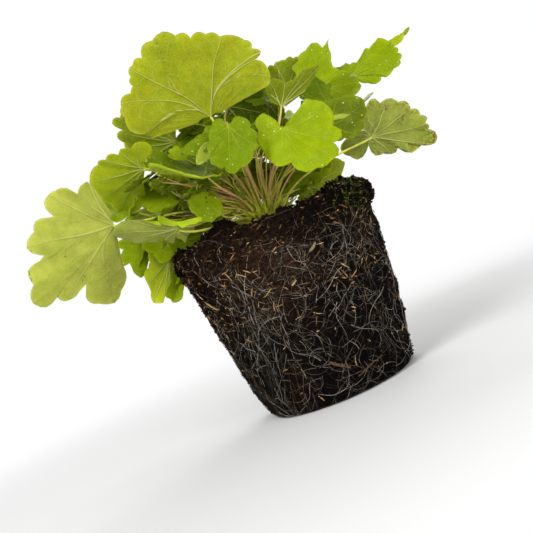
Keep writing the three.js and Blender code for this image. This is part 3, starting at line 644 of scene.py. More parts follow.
def blade_outline(leaf):
    """The edge as points along midrib and side, counter-clockwise, with points where main veins reach it."""
    notches = blade_notches(leaf)
    arc_steps, beside_vein, _ = fineness(leaf)
    angle = np.radians(notches[:, 0])
    corner = notches[:, 1:2] * np.stack([np.cos(angle), np.sin(angle)], axis=-1)
    t = (1 - np.cos(np.linspace(0, np.pi, arc_steps + 1)))[:-1, None] / 2
    points = []
    for first, second, swell in zip(corner, corner[1:], notches[:, 2]):
        chord = second - first
        outward = np.array([chord[1], -chord[0]])
        points.append(first + chord * t + outward * swell * np.sin(np.pi * t) ** SCALLOP["round"])
    points = np.vstack([*points, corner[-1:]])
    turn = np.degrees(np.arctan2(points[:, 1], points[:, 0]))
    turn = turn[0] + np.cumsum(np.concatenate([[0], (np.diff(turn) + 180) % 360 - 180]))
    turn = turn + 360 * round((notches[0, 0] - turn[0]) / 360)
    count = np.arange(len(points))
    at_veins = [np.interp(tip + beside, np.maximum.accumulate(turn), count)
                for tip in leaf["tips"] for beside in beside_vein]
    order = np.unique(np.round(np.concatenate([count, at_veins]), 2))
    outline = np.stack([np.interp(order, count, points[:, i]) for i in range(2)], axis=-1)
    return outline, np.interp(order, count, turn)


def fineness(leaf):
    return next(row[1:] for row in FINENESS if leaf["length"] > row[0])


def roll_edge(points, share, edge, turn, curl):
    """Rolls the blade's rim over between two angles. curl holds those angles, the width of the strip that
    rolls, the radius, and 1 to roll it toward the upper side or -1 toward the underside."""
    low, high, width, radius, toward = curl
    where = smoothstep(low - CURL_BLUR, low + CURL_BLUR, turn)
    where = where * (1 - smoothstep(high - CURL_BLUR, high + CURL_BLUR, turn))
    rolled = np.maximum(width - (1 - share) * edge, 0) * where
    arc = rolled / radius
    inward = (rolled - radius * np.sin(arc)) / np.maximum(share * edge, 1e-6)
    moved = points * np.stack([1 - inward, 1 - inward, 1 + 0 * inward], axis=-1)
    moved[..., 2] += toward * radius * (1 - np.cos(arc))
    return moved


def vein_courses(leaf, tips, share):
    """Angle of each main vein on each ring. A branch starts on another vein and runs straight to its tip."""
    courses = np.repeat(tips[None, :], len(share), axis=0)
    for branch, (trunk, fork) in leaf["forks"].items():
        away = np.clip((1 - fork / share[:, 0]) / (1 - fork), 0, 1)
        courses[:, branch + 3] = tips[trunk + 3] + (tips[branch + 3] - tips[trunk + 3]) * away
    return courses


def blade_sheet(leaf):
    """The middle surface of a blade, ring by ring: its points along midrib, side and top, the values that
    its material reads, and the height of its ribs."""
    length, seed = leaf["length"], leaf["seed"]
    rings = max(FEWEST_RINGS, round(length / fineness(leaf)[2]))
    share = (np.arange(1, rings + 1) / rings)[:, None]
    outline, turn = blade_outline(leaf)
    edge = np.linalg.norm(outline, axis=-1)
    reach = share * edge
    near = np.exp(-((turn[:, None] - turn[None, :]) / EVEN_OUT) ** 2) * np.gradient(turn)[None, :].clip(0.01)
    level = np.minimum(reach / (near @ edge / near.sum(axis=1)), 1.2)
    tips = np.array(leaf["tips"], float)
    beyond = np.array([tips[0] - LOBE_SPAN, *tips, tips[-1] + LOBE_SPAN])
    lobe = np.interp(turn, beyond, np.arange(-4, 5))
    nearest = np.clip(np.round(lobe), -3, 3)
    between = np.minimum(np.abs(lobe - nearest) * 2, 1)
    left, right = (np.interp(lobe + half, np.arange(-4, 5), beyond) for half in (-0.5, 0.5))
    gap = np.minimum(right - left, LOBE_SPAN) / LOBE_SPAN

    back, fore = leaf["sweep"]
    sweep = back * smoothstep(0, 1, -lobe / 3.2) - fore * smoothstep(0, 1, lobe / 3.2)
    stray = WANDER * np.interp(lobe * 1.7, np.arange(-8, 9), jitter(seed, np.arange(300, 317)))
    way = np.radians(turn + (1 - share) * sweep + stray * np.sin(2 * np.pi * share) * (1 - share) * 2)
    courses = vein_courses(leaf, tips, share)
    off_vein = np.min(np.abs(np.sin(np.radians(turn[:, None] - courses[:, None, :]))), axis=-1) * reach
    hand = np.where(lobe >= nearest, nearest, nearest - 1) % 2
    flat = np.stack([reach * np.cos(way), reach * np.sin(way), 0 * reach + 97 * seed], axis=-1)
    phase = (SIDE_VEINS["count"] * share ** 0.85 - SIDE_VEINS["slant"] * gap * (between / 2) ** 0.9
             + 0.5 * hand + SIDE_VEINS["wobble"] * lumpiness(flat, 0.22 * length, seed))

    dish = leaf["cup"] * (reach / length) ** 2
    puff = PUFF * gap * np.sin(np.pi / 2 * between) ** 2 * level * (1.25 - level)
    wave = sum(weight * gap ** i * np.sin(speed * lobe + 3 * jitter(seed, 20 + i))
               for i, (speed, weight) in enumerate(WAVES))
    quilt = QUILT * gap * np.abs(np.cos(np.pi * phase)) ** 0.8 * smoothstep(0, 3.0, off_vein)
    quilt = quilt * (1 - level ** 6).clip(0)
    crumple = FINE_CRUMPLE[0] * lumpiness(flat, FINE_CRUMPLE[1], seed)
    crumple = crumple + CRUMPLE[0] * lumpiness(flat, CRUMPLE[1], seed + 1) * level
    frill = leaf["frill"] * gap ** 2 * level ** 5 * np.sin(11.0 * lobe + 5 * jitter(seed, 31))
    fold = leaf["fold"] * (np.hypot(flat[..., 1], FOLD_ROUND) - FOLD_ROUND)
    ruffle = leaf["ruffle"] * level ** WAVE_POWER * wave
    lift = (dish + puff + ruffle + quilt + crumple + frill) * length + fold
    points = np.stack([flat[..., 0], flat[..., 1], lift], axis=-1)
    for curl in leaf["curls"]:
        points = roll_edge(points, share, edge, turn, curl)
    rib_width = RIB["width"] * (length / RIB_LENGTH) ** 0.5 * (1.1 - 0.6 * share)
    rib = RIB["height"] * length / RIB_LENGTH * (1.15 - share) * np.exp(-((off_vein / rib_width) ** 2))
    veins = np.stack([off_vein, phase, share + 0 * reach], axis=-1)
    return points, veins, rib


# Painted light: a rolled rim is tinted this lighter green, as if light shone through it.
LIT_RIM = (172, 196, 22)               # of a rim that is rolled over, which the light shines through


def leaf_tint(leaf, points, veins, base):
    """Colour of a blade point by point: a little uneven and paler toward its stalk, with painted light and
    shade: paler along its edge as a glow of light through it, darker over a range of angles as shade, and
    lighter along a rolled rim as if light shone through it.
    """
    uneven = 1 + 0.10 * lumpiness(points, 9, leaf["seed"]) + 0.07 * lumpiness(points, 3.5, leaf["seed"] + 7)
    share = veins[..., 2]
    # Painted light: the edge is made 8% paler as a glow of light through it; the paler base is the blade's
    # own.
    light = 1 + 0.08 * smoothstep(0.9, 1.0, share) + 0.15 * (1 - smoothstep(0, 0.3, share))
    tint = linear(base) * (uneven * light)[..., None]
    turn = np.degrees(np.arctan2(points[-1, :, 1], points[-1, :, 0]))
    # Painted shade: between two angles the blade is darkened where it lies in shade.
    low, high, dark = leaf["painted_shade"]
    painted_shade = dark * smoothstep(low - PAINTED_TONE_BLUR, low + PAINTED_TONE_BLUR, turn)
    painted_shade = painted_shade * (1 - smoothstep(high - PAINTED_TONE_BLUR, high + PAINTED_TONE_BLUR, turn))
    tint = tint * (1 - painted_shade * smoothstep(0, 0.5, share))[..., None]
    # Painted light: a rolled rim is tinted a lighter green, as if light shone through it.
    for low, high, width, *_ in leaf["curls"]:
        reach = np.hypot(points[-1, :, 0], points[-1, :, 1])
        rim = smoothstep(low, low + PAINTED_TONE_BLUR, turn) * (1 - smoothstep(high - PAINTED_TONE_BLUR, high, turn))
        rim = rim * smoothstep(-0.75 * width, -0.45 * width, (share - 1) * reach)
        tint = tint * (1 - rim[..., None]) + linear(LIT_RIM) * (uneven * rim)[..., None]
    return tint


def leaf_spots(leaf, points, veins):
    """Where a blade has brown spots: along its edge and on the half beyond the midrib."""
    rim = smoothstep(0.72, 0.98, veins[..., 2])
    patch = smoothstep(0.1, 0.6, lumpiness(points, 9, 5)) * smoothstep(0.3, 0.7, veins[..., 2])
    return leaf["spots"] * np.maximum(rim * smoothstep(-0.5, 0.2, lumpiness(points, 6, 8)), 0.7 * patch)


def add_leaf(name, leaf, skins, replaces=()):
    """A closed thin blade: underside and upper side over the same grid, joined along the edge."""
    middle, veins, rib = blade_sheet(leaf)
    rings, columns = middle.shape[:2]
    share = veins[..., 2]
    half = SHEET / 2 * (1 - share ** 10)
    axes = np.array(blade_axes(leaf))

    def place(points):
        return np.array(leaf["at"]) + points @ axes

    def raised(offset):
        return middle + np.stack([0 * offset, 0 * offset, offset], axis=-1)

    size = math.sqrt(leaf["length"] / RIB_LENGTH)
    count = rings * columns
    fan = np.stack([np.full(columns - 1, count), np.arange(columns - 1), np.arange(1, columns)], axis=-1)
    faces = [grid_faces(rings, columns)[:, ::-1], fan]
    spots = np.append(leaf_spots(leaf, middle, veins), 0)
    vein_values = np.vstack([veins.reshape(-1, 3), [0, 0, 0]])
    shell = Shell()
    sides = [(half, leaf["upper"], SHEET / 2),
             (-half - rib, leaf["under"], -SHEET / 2 - RIB["height"] * 0.5)]
    for kind, (offset, base, hub) in enumerate(sides):
        points = place(raised(offset)).reshape(-1, 3)
        tint = leaf_tint(leaf, middle, veins, base).reshape(-1, 3)
        shell.add(np.vstack([points, place(np.array([[0, 0, hub]]))]), faces, kind,
                  tint=np.vstack([tint, linear(YOUNG)]), spots=spots, veins=vein_values,
                  size=np.full(count + 1, size))
        faces = [face[:, ::-1] for face in faces]
    one = count + 1
    edge = np.concatenate([np.arange(rings) * columns, (rings - 1) * columns + np.arange(1, columns),
                           (np.arange(rings - 1) * columns + columns - 1)[::-1]])
    loop = np.concatenate([[count], edge])
    after = np.roll(loop, -1)
    shell.faces.append(np.stack([loop, after, after + one, loop + one], axis=-1)[:, ::-1])
    shell.kinds.append(np.full(len(loop), 0))
    return shell.piece(name, skins, replaces)


# ---------------------------------------------------------------------------------------------------------
# Stalks

# Painted light: these are much lighter than the stalks' own pink, olive and yellow-green, to make up for the
# shade that falls among the leaves.
STALK_COLOURS = {"foot": (232, 245, 48), "olive": (232, 226, 84), "pink": (240, 180, 128),
                 "tip": (206, 220, 70)}
STALK_BEND = {"size": 0.35, "spacing": 16}
STALK_SLIMNESS = 0.64              # of the visible stalk, of its CAD radius


def clamp_length(vectors, limit):
    length = np.linalg.norm(vectors, axis=-1, keepdims=True)
    return vectors * np.minimum(1, limit / np.maximum(length, 1e-9))


def stalk_feet():
    """Where the stalks leave the crown, from its axis, as in part.mjs."""
    away = np.array([(leaf["at"][0] - CROWN["x"], leaf["at"][1] - CROWN["y"]) for leaf in LEAVES], float)
    rise = np.array([leaf["at"][2] - BALL_TOP for leaf in LEAVES])
    climb = np.degrees(np.arctan2(rise, np.linalg.norm(away, axis=-1)))
    homes = unit(away) * (FEET["ring"] * np.clip(1.15 - climb / 95, 0.12, 1))[:, None]
    feet = homes.copy()
    for _ in range(FEET["passes"]):
        apart = feet[:, None] - feet[None, :]
        distance = np.linalg.norm(apart, axis=-1)
        np.fill_diagonal(distance, np.inf)
        lack = np.maximum(FEET["room"] - distance, 0) * FEET["push"]
        push = (apart / np.maximum(distance, 1e-9)[..., None] * lack[..., None]).sum(axis=1)
        feet = clamp_length(feet + (homes - feet) * FEET["pull"] + push, FEET["limit"])
    return feet


def crown_at(foot):
    """A point of the crown's surface and the outward direction there."""
    radius, height = CROWN["radius"], CROWN["height"]
    z = height * math.sqrt(1 - (foot @ foot) / radius ** 2)
    out = unit(np.array([foot[0] / radius ** 2, foot[1] / radius ** 2, z / height ** 2]))
    return np.array([CROWN["x"] + foot[0], CROWN["y"] + foot[1], BALL_TOP + JOINT_GAP + z]), out


def stalk_path(leaf, foot, steps):
    """The stalk's centre line as in part.mjs, run on into the crown and into the blade's hub."""
    radius = STALK["thin"] if leaf["length"] < STALK["thin_below"] else STALK["thick"]
    if leaf["length"] < STALK["finest_below"]:
        radius = STALK["finest"]
    midrib, _, top = blade_axes(leaf)
    point, out = crown_at(foot)
    blade = np.array(leaf["at"], float)
    angle = math.radians(leaf["arrive"])
    arrive = midrib * math.cos(angle) + top * math.sin(angle)
    run = np.linalg.norm(blade - point)
    leave = unit(out * 0.5 + (blade - point) * 0.5 / run + np.array([0, 0, leaf["rise"]]))
    foot_slant = math.sqrt(1 - min(1, leave @ out) ** 2)
    start = point + out * (JOINT_GAP + radius * foot_slant)
    end = blade - top * (BLADE_THICKNESS / 2 + JOINT_GAP + radius * abs(math.cos(angle)))
    handles = [start, start + leave * run * STALK["lead"], end - arrive * run * STALK["tail"], end]
    t = np.linspace(0, 1, steps)[:, None]
    weights = [(1 - t) ** 3, 3 * (1 - t) ** 2 * t, 3 * (1 - t) * t * t, t ** 3]
    curve = sum(weight * handle for weight, handle in zip(weights, handles))
    hub = blade + midrib * 0.8 - top * 0.1
    return np.vstack([start - leave * 2.5, curve, hub]), radius


def add_stalk(name, leaf, foot, skin, replaces=()):
    """A stalk with shallow ribs, a wider base, and short pale hairs that stand off it."""
    path, radius = stalk_path(leaf, foot, max(14, round(leaf["length"] * 0.9)))
    seed = leaf["seed"]
    share = np.linspace(0, 1, len(path))
    stray = np.stack([lumpiness(path, STALK_BEND["spacing"], seed + i) for i in (3, 4, 5)], axis=-1)
    path = path + STALK_BEND["size"] * np.sin(share * np.pi)[:, None] * stray
    wider = 0.82 + 0.75 * (1 - smoothstep(0, 0.14, share)) + 0.1 * smoothstep(0.85, 1, share)
    width = radius * STALK_SLIMNESS * wider
    width[-1] *= 0.4
    hint = unit(np.cross(path[-1] - path[0], [0, 0, 1.0]))
    sides = 10 if leaf["length"] > STALK["finest_below"] else 8
    points, faces = tube(path, width, sides, hint)
    ring = np.repeat(np.arange(len(path)), sides)
    turn = np.tile(np.arange(sides), len(path))
    rib = 1 + 0.07 * np.cos(turn * np.pi)
    points[:-2] = path[ring] + (points[:-2] - path[ring]) * rib[:, None]
    body = linear(STALK_COLOURS["pink"] if jitter(seed, 71) > 0.3 else STALK_COLOURS["olive"])
    low = (1 - smoothstep(0.02, 0.3, share))[:, None]
    high = smoothstep(0.7, 1, share)[:, None]
    tint = body * (1 - low) + linear(STALK_COLOURS["foot"]) * low
    tint = tint * (1 - high) + linear(STALK_COLOURS["tip"]) * high
    shell = Shell()
    shell.add(points, faces, tint=np.vstack([tint[ring], tint[:1], tint[-1:]]))
    add_hairs(shell, path, width, hint, seed)
    return shell.piece(name, [skin], replaces)


HAIR = {"per_mm": 1.2, "length": 1.0, "root": 0.06}
HAIR_COLOUR = (196, 196, 150)


def add_hairs(shell, path, width, hint, seed):
    """Fine hairs at repeatable places round the stalk, each a thin three-sided spike."""
    reach = np.concatenate([[0], np.cumsum(np.linalg.norm(np.diff(path, axis=0), axis=-1))])
    count = int(reach[-1] * HAIR["per_mm"])
    index = np.arange(count)
    along = reach[-1] * (index + 0.5) / count
    at = np.stack([np.interp(along, reach, path[:, i]) for i in range(3)], axis=-1)
    slopes = [np.interp(along, reach, np.gradient(path[:, i], reach)) for i in range(3)]
    tangent = unit(np.stack(slopes, axis=-1))
    across = unit(np.cross(tangent, hint))
    up = np.cross(tangent, across)
    turn = np.pi * jitter(seed, 200 + index) + index * 2.4
    out = np.cos(turn)[:, None] * across + np.sin(turn)[:, None] * up
    sideways = np.cross(tangent, out)
    foot = at + out * (np.interp(along, reach, width) * 0.9)[:, None]
    tall = HAIR["length"] * (0.75 + 0.35 * jitter(seed, 600 + index))[:, None]
    lean = 0.35 * jitter(seed, 900 + index)[:, None]
    tip = foot + unit(out + lean * tangent) * tall
    root = HAIR["root"]
    corners = [foot + sideways * root, foot - sideways * root / 2 + tangent * root,
               foot - sideways * root / 2 - tangent * root, tip]
    points = np.stack(corners, axis=1).reshape(-1, 3)
    spike = np.array([(0, 1, 3), (1, 2, 3), (2, 0, 3), (2, 1, 0)])
    faces = (spike[None] + 4 * index[:, None, None]).reshape(-1, 3)
    shell.add(points, faces, tint=linear(HAIR_COLOUR))


# ---------------------------------------------------------------------------------------------------------
# Crown

CROWN_GRID = {"rings": 26, "around": 90}
# Painted light: the low and high colours, and SCALE_COLOURS, are lighter than the crown's own yellow-green,
# to make up for the shade that the leaves cast on it.
CROWN_COLOURS = {"low": (150, 140, 54), "high": (212, 222, 56), "base": (88, 68, 42)}
CROWN_SUNK = 1                     # how far its underside lies below the soil
SCALES = {"count": 96, "length": 8.5, "width": 2.6, "rings": 7, "sides": 8, "golden_turn": 2.39996}
SCALE_COLOURS = [(208, 216, 60), (198, 184, 84), (212, 226, 54), (178, 156, 78), (218, 230, 60)]


def add_crown(skin):
    """The lumpy crown with the dried bases of old stalks standing round it like scales."""
    shell = Shell()
    radius, height = CROWN["radius"], CROWN["height"]
    rise = np.linspace(0, np.pi / 2, CROWN_GRID["rings"])[:, None]
    turn = np.linspace(0, 2 * np.pi, CROWN_GRID["around"], endpoint=False)[None, :]
    ball = np.stack([np.cos(rise) * np.cos(turn), np.cos(rise) * np.sin(turn), np.sin(rise) + 0 * turn],
                    axis=-1)
    dome = ball * np.array([radius, radius, height])
    knobs = 1 + 0.05 * lumpiness(dome, 5, 1) + 0.035 * lumpiness(dome, 2, 2)
    points = dome * knobs[..., None] + np.array([CROWN["x"], CROWN["y"], BALL_TOP])
    points[0, :, 2] = BALL_TOP - CROWN_SUNK
    middle = np.array([[CROWN["x"], CROWN["y"], BALL_TOP - CROWN_SUNK]])
    green = smoothstep(0.3, 0.95, np.sin(rise) + 0 * turn)[..., None]
    tint = linear(CROWN_COLOURS["low"]) * (1 - green) + linear(CROWN_COLOURS["high"]) * green
    wall_and_base = closed_faces(CROWN_GRID["rings"], CROWN_GRID["around"])[:2]
    shell.add(np.vstack([points.reshape(-1, 3), middle]), wall_and_base,
              tint=np.vstack([tint.reshape(-1, 3), linear(CROWN_COLOURS["base"])]))
    for i in range(SCALES["count"]):
        add_scale(shell, i)
    return shell.piece("crown_scales", [skin], ["crown"])


def add_scale(shell, i):
    """One dried stalk base: a pointed, curved sheath that leans outward."""
    spread = math.sqrt((i + 0.5) / SCALES["count"])
    turn = i * SCALES["golden_turn"]
    foot = np.array([math.cos(turn), math.sin(turn)]) * spread * (CROWN["radius"] - 1.5)
    at, out = crown_at(foot)
    outward = np.array([math.cos(turn), math.sin(turn), 0])
    rise = unit(out + 0.5 * spread * outward + 0.25 * np.array([jitter(i, 1), jitter(i, 2), 0]))
    across = unit(np.cross(rise, outward))
    length = SCALES["length"] * (0.75 + 0.4 * jitter(i, 3))
    t = np.linspace(0, 1, SCALES["rings"])[:, None]
    path = at - out * 1.5 + rise * length * t + outward * (1.6 * t * t * (1 + 0.5 * jitter(i, 4)))
    width = SCALES["width"] / 2 * np.sqrt(1 - t[:, 0] ** 1.6) + 0.08
    around = np.linspace(0, 2 * np.pi, SCALES["sides"], endpoint=False)
    side = width[:, None, None] * np.cos(around)[None, :, None] * across
    deep = np.minimum(width, 0.55)[:, None, None] * np.sin(around)[None, :, None] * outward
    hollow = -0.5 * width[:, None, None] * (np.cos(around)[None, :, None] ** 2) * outward
    points = (path[:, None] + side + deep + hollow).reshape(-1, 3)
    shell.add(np.vstack([points, path[:1], path[-1:]]), closed_faces(SCALES["rings"], SCALES["sides"]),
              tint=linear(SCALE_COLOURS[i % len(SCALE_COLOURS)]))


# ---------------------------------------------------------------------------------------------------------
# Root ball

PROFILE = np.array(BALL_PROFILE, float)
PROFILE_RUN = np.concatenate([[0], np.cumsum(np.linalg.norm(np.diff(PROFILE, axis=0), axis=-1))])
FOOT_RUN, RIM_RUN, TOP_RUN = PROFILE_RUN[1], PROFILE_RUN[6], PROFILE_RUN[8]
PEAT, BROWN_PEAT = (11, 9, 8), (66, 45, 31)
# Only the visible ball has these: loose soil along its near rim (centre, height, spread), and a bulge and
# a waist at +X (height, spread, size).
RIM_HEAPS = [(-36, -42, 5, 13), (-26, -41, 8, 8), (-56, -18, 4, 11), (40, -38, 4, 9)]
RIGHT_SIDE, RIGHT_WIDTH = [(50, 15, 2.2), (91, 11, -4.5)], 0.7
BALL_GRID = {"foot": 12, "side": 108, "top": 42, "around": 256}
BROWN_PATCH = {"at": (-17, -54, 84), "spread": 22}
ROUGH = [(9, 0.5), (3.4, 0.5), (1.7, 0.38)]  # spacing and share of the soil's unevenness


def ball_surface(turn, run):
    """A point of the root ball and the outward direction there. run is the way along the profile from the
    middle of the foot, over the rim, to the middle of the top."""
    turn, run = np.broadcast_arrays(np.asarray(turn, float), np.asarray(run, float))
    radius = np.interp(run, PROFILE_RUN, PROFILE[:, 0])
    z = np.interp(run, PROFILE_RUN, PROFILE[:, 1])
    step = 1.5
    slope_r, slope_z = (np.interp(run + step, PROFILE_RUN, PROFILE[:, i])
                        - np.interp(run - step, PROFILE_RUN, PROFILE[:, i]) for i in range(2))
    slope_r = np.where(run < step, 2 * step, np.where(run > TOP_RUN - step, -2 * step, slope_r))
    out = unit(np.stack([slope_z * np.cos(turn), slope_z * np.sin(turn), -slope_r], axis=-1))
    lump = sum(size * np.sin(waves * turn + twist * z + phase) for waves, twist, phase, size in LUMPS)
    middle = smoothstep(0, 25, radius)
    to_right = np.arctan2(np.sin(turn), np.cos(turn))
    swell = sum(size * np.exp(-((z - height) / tall) ** 2) for height, tall, size in RIGHT_SIDE)
    lump = lump + swell * np.exp(-(to_right / RIGHT_WIDTH) ** 2)
    radius = radius + lump * np.minimum(1, z / LUMP_FADE) * middle
    x, y = radius * np.cos(turn), radius * np.sin(turn)
    clear = np.clip((np.hypot(x - CROWN["x"], y - CROWN["y"]) - CROWN["seat"]) / CROWN["blend"], 0, 1)
    heap = sum(height * np.exp(-((x - heap_x) ** 2 + (y - heap_y) ** 2) / spread ** 2)
               for heap_x, heap_y, height, spread in HEAPS + RIM_HEAPS)
    on_top = smoothstep(RIM_RUN - 6, RIM_RUN + 3, run)
    base = np.stack([x, y, z + heap * clear * on_top], axis=-1)
    upper = smoothstep(FOOT_RUN + 62, RIM_RUN, run)
    deep = smoothstep(FOOT_RUN - 1, FOOT_RUN + 9, run) * (0.7 + 1.3 * upper)
    rough = sum(share * lumpiness(base, spacing, i) for i, (spacing, share) in enumerate(ROUGH))
    rim = smoothstep(RIM_RUN - 9, RIM_RUN, run) * (1 - smoothstep(RIM_RUN + 6, RIM_RUN + 16, run))
    ragged = 1.8 * rim * lumpiness(base, 5.5, 11)
    return base + out * (rough * deep + ragged - 0.3 * upper)[..., None], out


def peat_tint(points, seed=0):
    """Black peat, browner in a patch on the near side, here and there, and on the upper third."""
    away = ((points - np.array(BROWN_PATCH["at"])) ** 2).sum(axis=-1)
    patch = np.exp(-away / BROWN_PATCH["spread"] ** 2)
    here = smoothstep(0.1, 0.8, lumpiness(points, 21, 31)) * 0.35
    high = smoothstep(70, 100, points[..., 2]) * 0.1
    brown = np.clip(patch + here + high + 0.12 * lumpiness(points, 4, 33 + seed), 0, 1)[..., None]
    return linear(PEAT) * (1 - brown) + linear(BROWN_PEAT) * brown


def add_ball(skin):
    """The root ball's own surface. Its foot stays flat."""
    around = BALL_GRID["around"]
    foot = np.linspace(3, FOOT_RUN, BALL_GRID["foot"])
    side = np.linspace(FOOT_RUN, RIM_RUN + 9, BALL_GRID["side"])[1:]
    top = np.linspace(RIM_RUN + 9, TOP_RUN - 2, BALL_GRID["top"])[1:]
    run = np.concatenate([foot, side, top])[:, None]
    turn = np.linspace(0, 2 * np.pi, around, endpoint=False)[None, :]
    points, _ = ball_surface(turn, run)
    centre = np.array([[0, 0, 0], points[-1].mean(axis=0)])
    every = np.vstack([points.reshape(-1, 3), centre])
    shell = Shell()
    shell.add(every, closed_faces(len(run), around), tint=peat_tint(every))
    return shell.piece("root_ball_peat", [skin], ["root_ball"])


def scatter(count, low, high, random):
    """Places on the ball between two runs, spread evenly over its surface."""
    run = np.empty(0)
    while len(run) < count:
        more = random.uniform(low, high, count * 2)
        radius = np.interp(more, PROFILE_RUN, PROFILE[:, 0])
        run = np.concatenate([run, more[random.uniform(0, 66, len(more)) < radius]])
    return random.uniform(0, 2 * np.pi, count), run[:count]


def crumb_shape():
    """The twelve corners and twenty faces of an icosahedron."""
    golden = (1 + math.sqrt(5)) / 2
    corners = []
    for a, b in itertools.product((-1, 1), (-golden, golden)):
        corners += [(0, a, b), (a, b, 0), (b, 0, a)]
    corners = np.array(corners)
    faces = []
    for trio in itertools.combinations(range(12), 3):
        a, b, c = corners[list(trio)]
        if all(abs(np.linalg.norm(p - q) - 2) < 1e-6 for p, q in ((a, b), (b, c), (c, a))):
            outward = np.dot(np.cross(b - a, c - a), a) > 0
            faces.append(trio if outward else trio[::-1])
    return unit(corners), np.array(faces)


CRUMB_ZONES = [  # how many, from where to where on the profile, and the largest and smallest size
    (600, FOOT_RUN + 3, FOOT_RUN + 72, 0.9, 0.4),
    (1150, FOOT_RUN + 66, RIM_RUN, 1.0, 0.4),
    (1350, RIM_RUN - 6, RIM_RUN + 12, 1.8, 0.45),
    (1050, RIM_RUN + 6, TOP_RUN - 14, 1.6, 0.5),
]
CRUMB_COLOURS = [(12, 10, 9), (9, 8, 7), (20, 16, 12), (62, 47, 30), (14, 12, 10)]


def add_crumbs(skin):
    """Loose crumbs of peat, half sunk into the ball's surface."""
    random = np.random.default_rng(12)
    corners, faces = crumb_shape()
    shell = Shell()
    for count, low, high, largest, smallest in CRUMB_ZONES:
        turn, run = scatter(count, low, high, random)
        at, out = ball_surface(turn, run)
        size = smallest + (largest - smallest) * random.uniform(0, 1, count) ** 2
        shape = corners[None] * random.uniform(0.65, 1.3, (count, 12, 1))
        stretch = random.uniform(0.35, 1.5, (count, 1, 3))
        spin = np.linalg.qr(random.normal(size=(count, 3, 3)))[0]
        shape = np.einsum("nij,nkj->nki", spin, shape * stretch)
        flip = np.linalg.det(spin) < 0
        middle = at + out * size[:, None] * random.uniform(0.1, 0.7, (count, 1))
        points = middle[:, None] + shape * size[:, None, None]
        index = faces[None] + 12 * np.arange(count)[:, None, None]
        index[flip] = index[flip][:, :, ::-1]
        tint = linear(CRUMB_COLOURS)[random.integers(0, len(CRUMB_COLOURS), count)]
        tint = 0.75 * tint + 0.25 * peat_tint(at)
        shell.add(points.reshape(-1, 3), index.reshape(-1, 3), tint=np.repeat(tint, 12, axis=0))
    return shell.piece("soil_crumbs", [skin], smooth=False)


# Crumbs that lie on blades: leaf number, share of the way to the edge, where along the edge from 0 to 1,
# count
CRUMBS_ON_LEAVES = [
    (6, 0.9, 0.62, 4), (6, 0.86, 0.7, 5), (6, 0.9, 0.8, 3), (7, 0.8, 0.45, 2), (7, 0.9, 0.62, 1),
    (5, 0.8, 0.35, 6), (4, 0.9, 0.2, 3), (2, 0.5, 0.5, 2), (2, 0.75, 0.35, 2), (10, 0.3, 0.05, 2),
]
LEAF_CRUMB = (0.2, 0.55)  # smallest and largest size


def add_leaf_crumbs(skin):
    """Crumbs of soil that were spilled on the blades, on the side that shows."""
    random = np.random.default_rng(56)
    corners, faces = crumb_shape()
    shell = Shell()
    for number, share, along, count in CRUMBS_ON_LEAVES:
        leaf = LEAVES[number - 1]
        points = np.array(leaf["at"]) + blade_sheet(leaf)[0] @ np.array(blade_axes(leaf))
        rings, columns = points.shape[:2]
        for _ in range(count):
            ring = int(np.clip(share + random.normal(0, 0.05), 0.1, 0.98) * (rings - 1))
            column = int(np.clip(along + random.normal(0, 0.025), 0.02, 0.98) * (columns - 1))
            out = unit(np.cross(points[ring - 1, column] - points[ring, column],
                                points[ring, column - 1] - points[ring, column]))
            if out[1] > 0:
                out = -out
            size = random.uniform(*LEAF_CRUMB)
            shape = corners * random.uniform(0.5, 1.3, (12, 1)) * random.uniform(0.5, 1.3, 3)
            shell.add(points[ring, column] + out * (SHEET / 2 + size * 0.3) + shape * size, faces,
                      tint=linear(CRUMB_COLOURS[random.integers(len(CRUMB_COLOURS))]))
    return shell.piece("spilled_crumbs", [skin], smooth=False)


CHIP_COLOURS = [(184, 146, 92), (140, 106, 66), (98, 74, 50), (206, 172, 122), (76, 56, 38), (118, 92, 62)]
CHIP_ZONES = [  # how many, and from where to where on the profile
    (900, FOOT_RUN + 62, RIM_RUN + 6),
    (300, RIM_RUN + 2, TOP_RUN - 16),
    (260, FOOT_RUN + 8, FOOT_RUN + 70),
]
CHIP_LIFT = 0.8  # how high chips lie on the crumbs around them
# Larger chips that the photograph shows: where on the ball as x and height, length, width, slant from
# level in degrees, and colour.
NEAR_CHIPS = [
    (-51, 76, 12.5, 1.0, -38, (176, 140, 88)),
    (13, 84, 6.0, 1.6, 35, (150, 132, 104)),
    (-4, 71, 3.6, 1.5, 30, (200, 178, 140)),
    (1, 20, 12.0, 1.8, -38, (100, 76, 56)),
    (14, 12, 13.0, 0.8, 18, (110, 86, 62)),
]


def near_turn(x, z):
    """Turn and run of the place on the ball's near side at a given x and height."""
    run = np.interp(z, PROFILE[1:7, 1], PROFILE_RUN[1:7])
    radius = np.interp(run, PROFILE_RUN, PROFILE[:, 0])
    return -math.acos(max(-1.0, min(1.0, x / radius))), run


def add_chip(shell, at, out, level, length, width, thick, colour, random):
    """A splinter of bark: a flat bar with uneven ends and a slight bow."""
    across = unit(np.cross(out, level))
    steps = 3 if length < 5 else 5
    t = np.linspace(-0.5, 0.5, steps)
    bow = random.uniform(-0.08, 0.08) * length
    width_at = width / 2 * random.uniform(0.55, 1.1, steps)
    width_at[[0, -1]] *= 0.5
    path = at + out * thick * 0.35 + np.outer(t * length, level) + np.outer(bow * (t * t * 4), across)
    ring = [(-1, -1), (1, -1), (1, 1), (-1, 1)]
    points = np.stack([path + width_at[:, None] * a * across + thick / 2 * b * out for a, b in ring], axis=1)
    last = 4 * (steps - 1)
    ends = np.array([(3, 2, 1, 0), (last, last + 1, last + 2, last + 3)])
    faces = [grid_faces(steps, 4, closed=True), ends]
    shell.add(points.reshape(-1, 3), faces, tint=linear(colour) * random.uniform(0.8, 1.15))


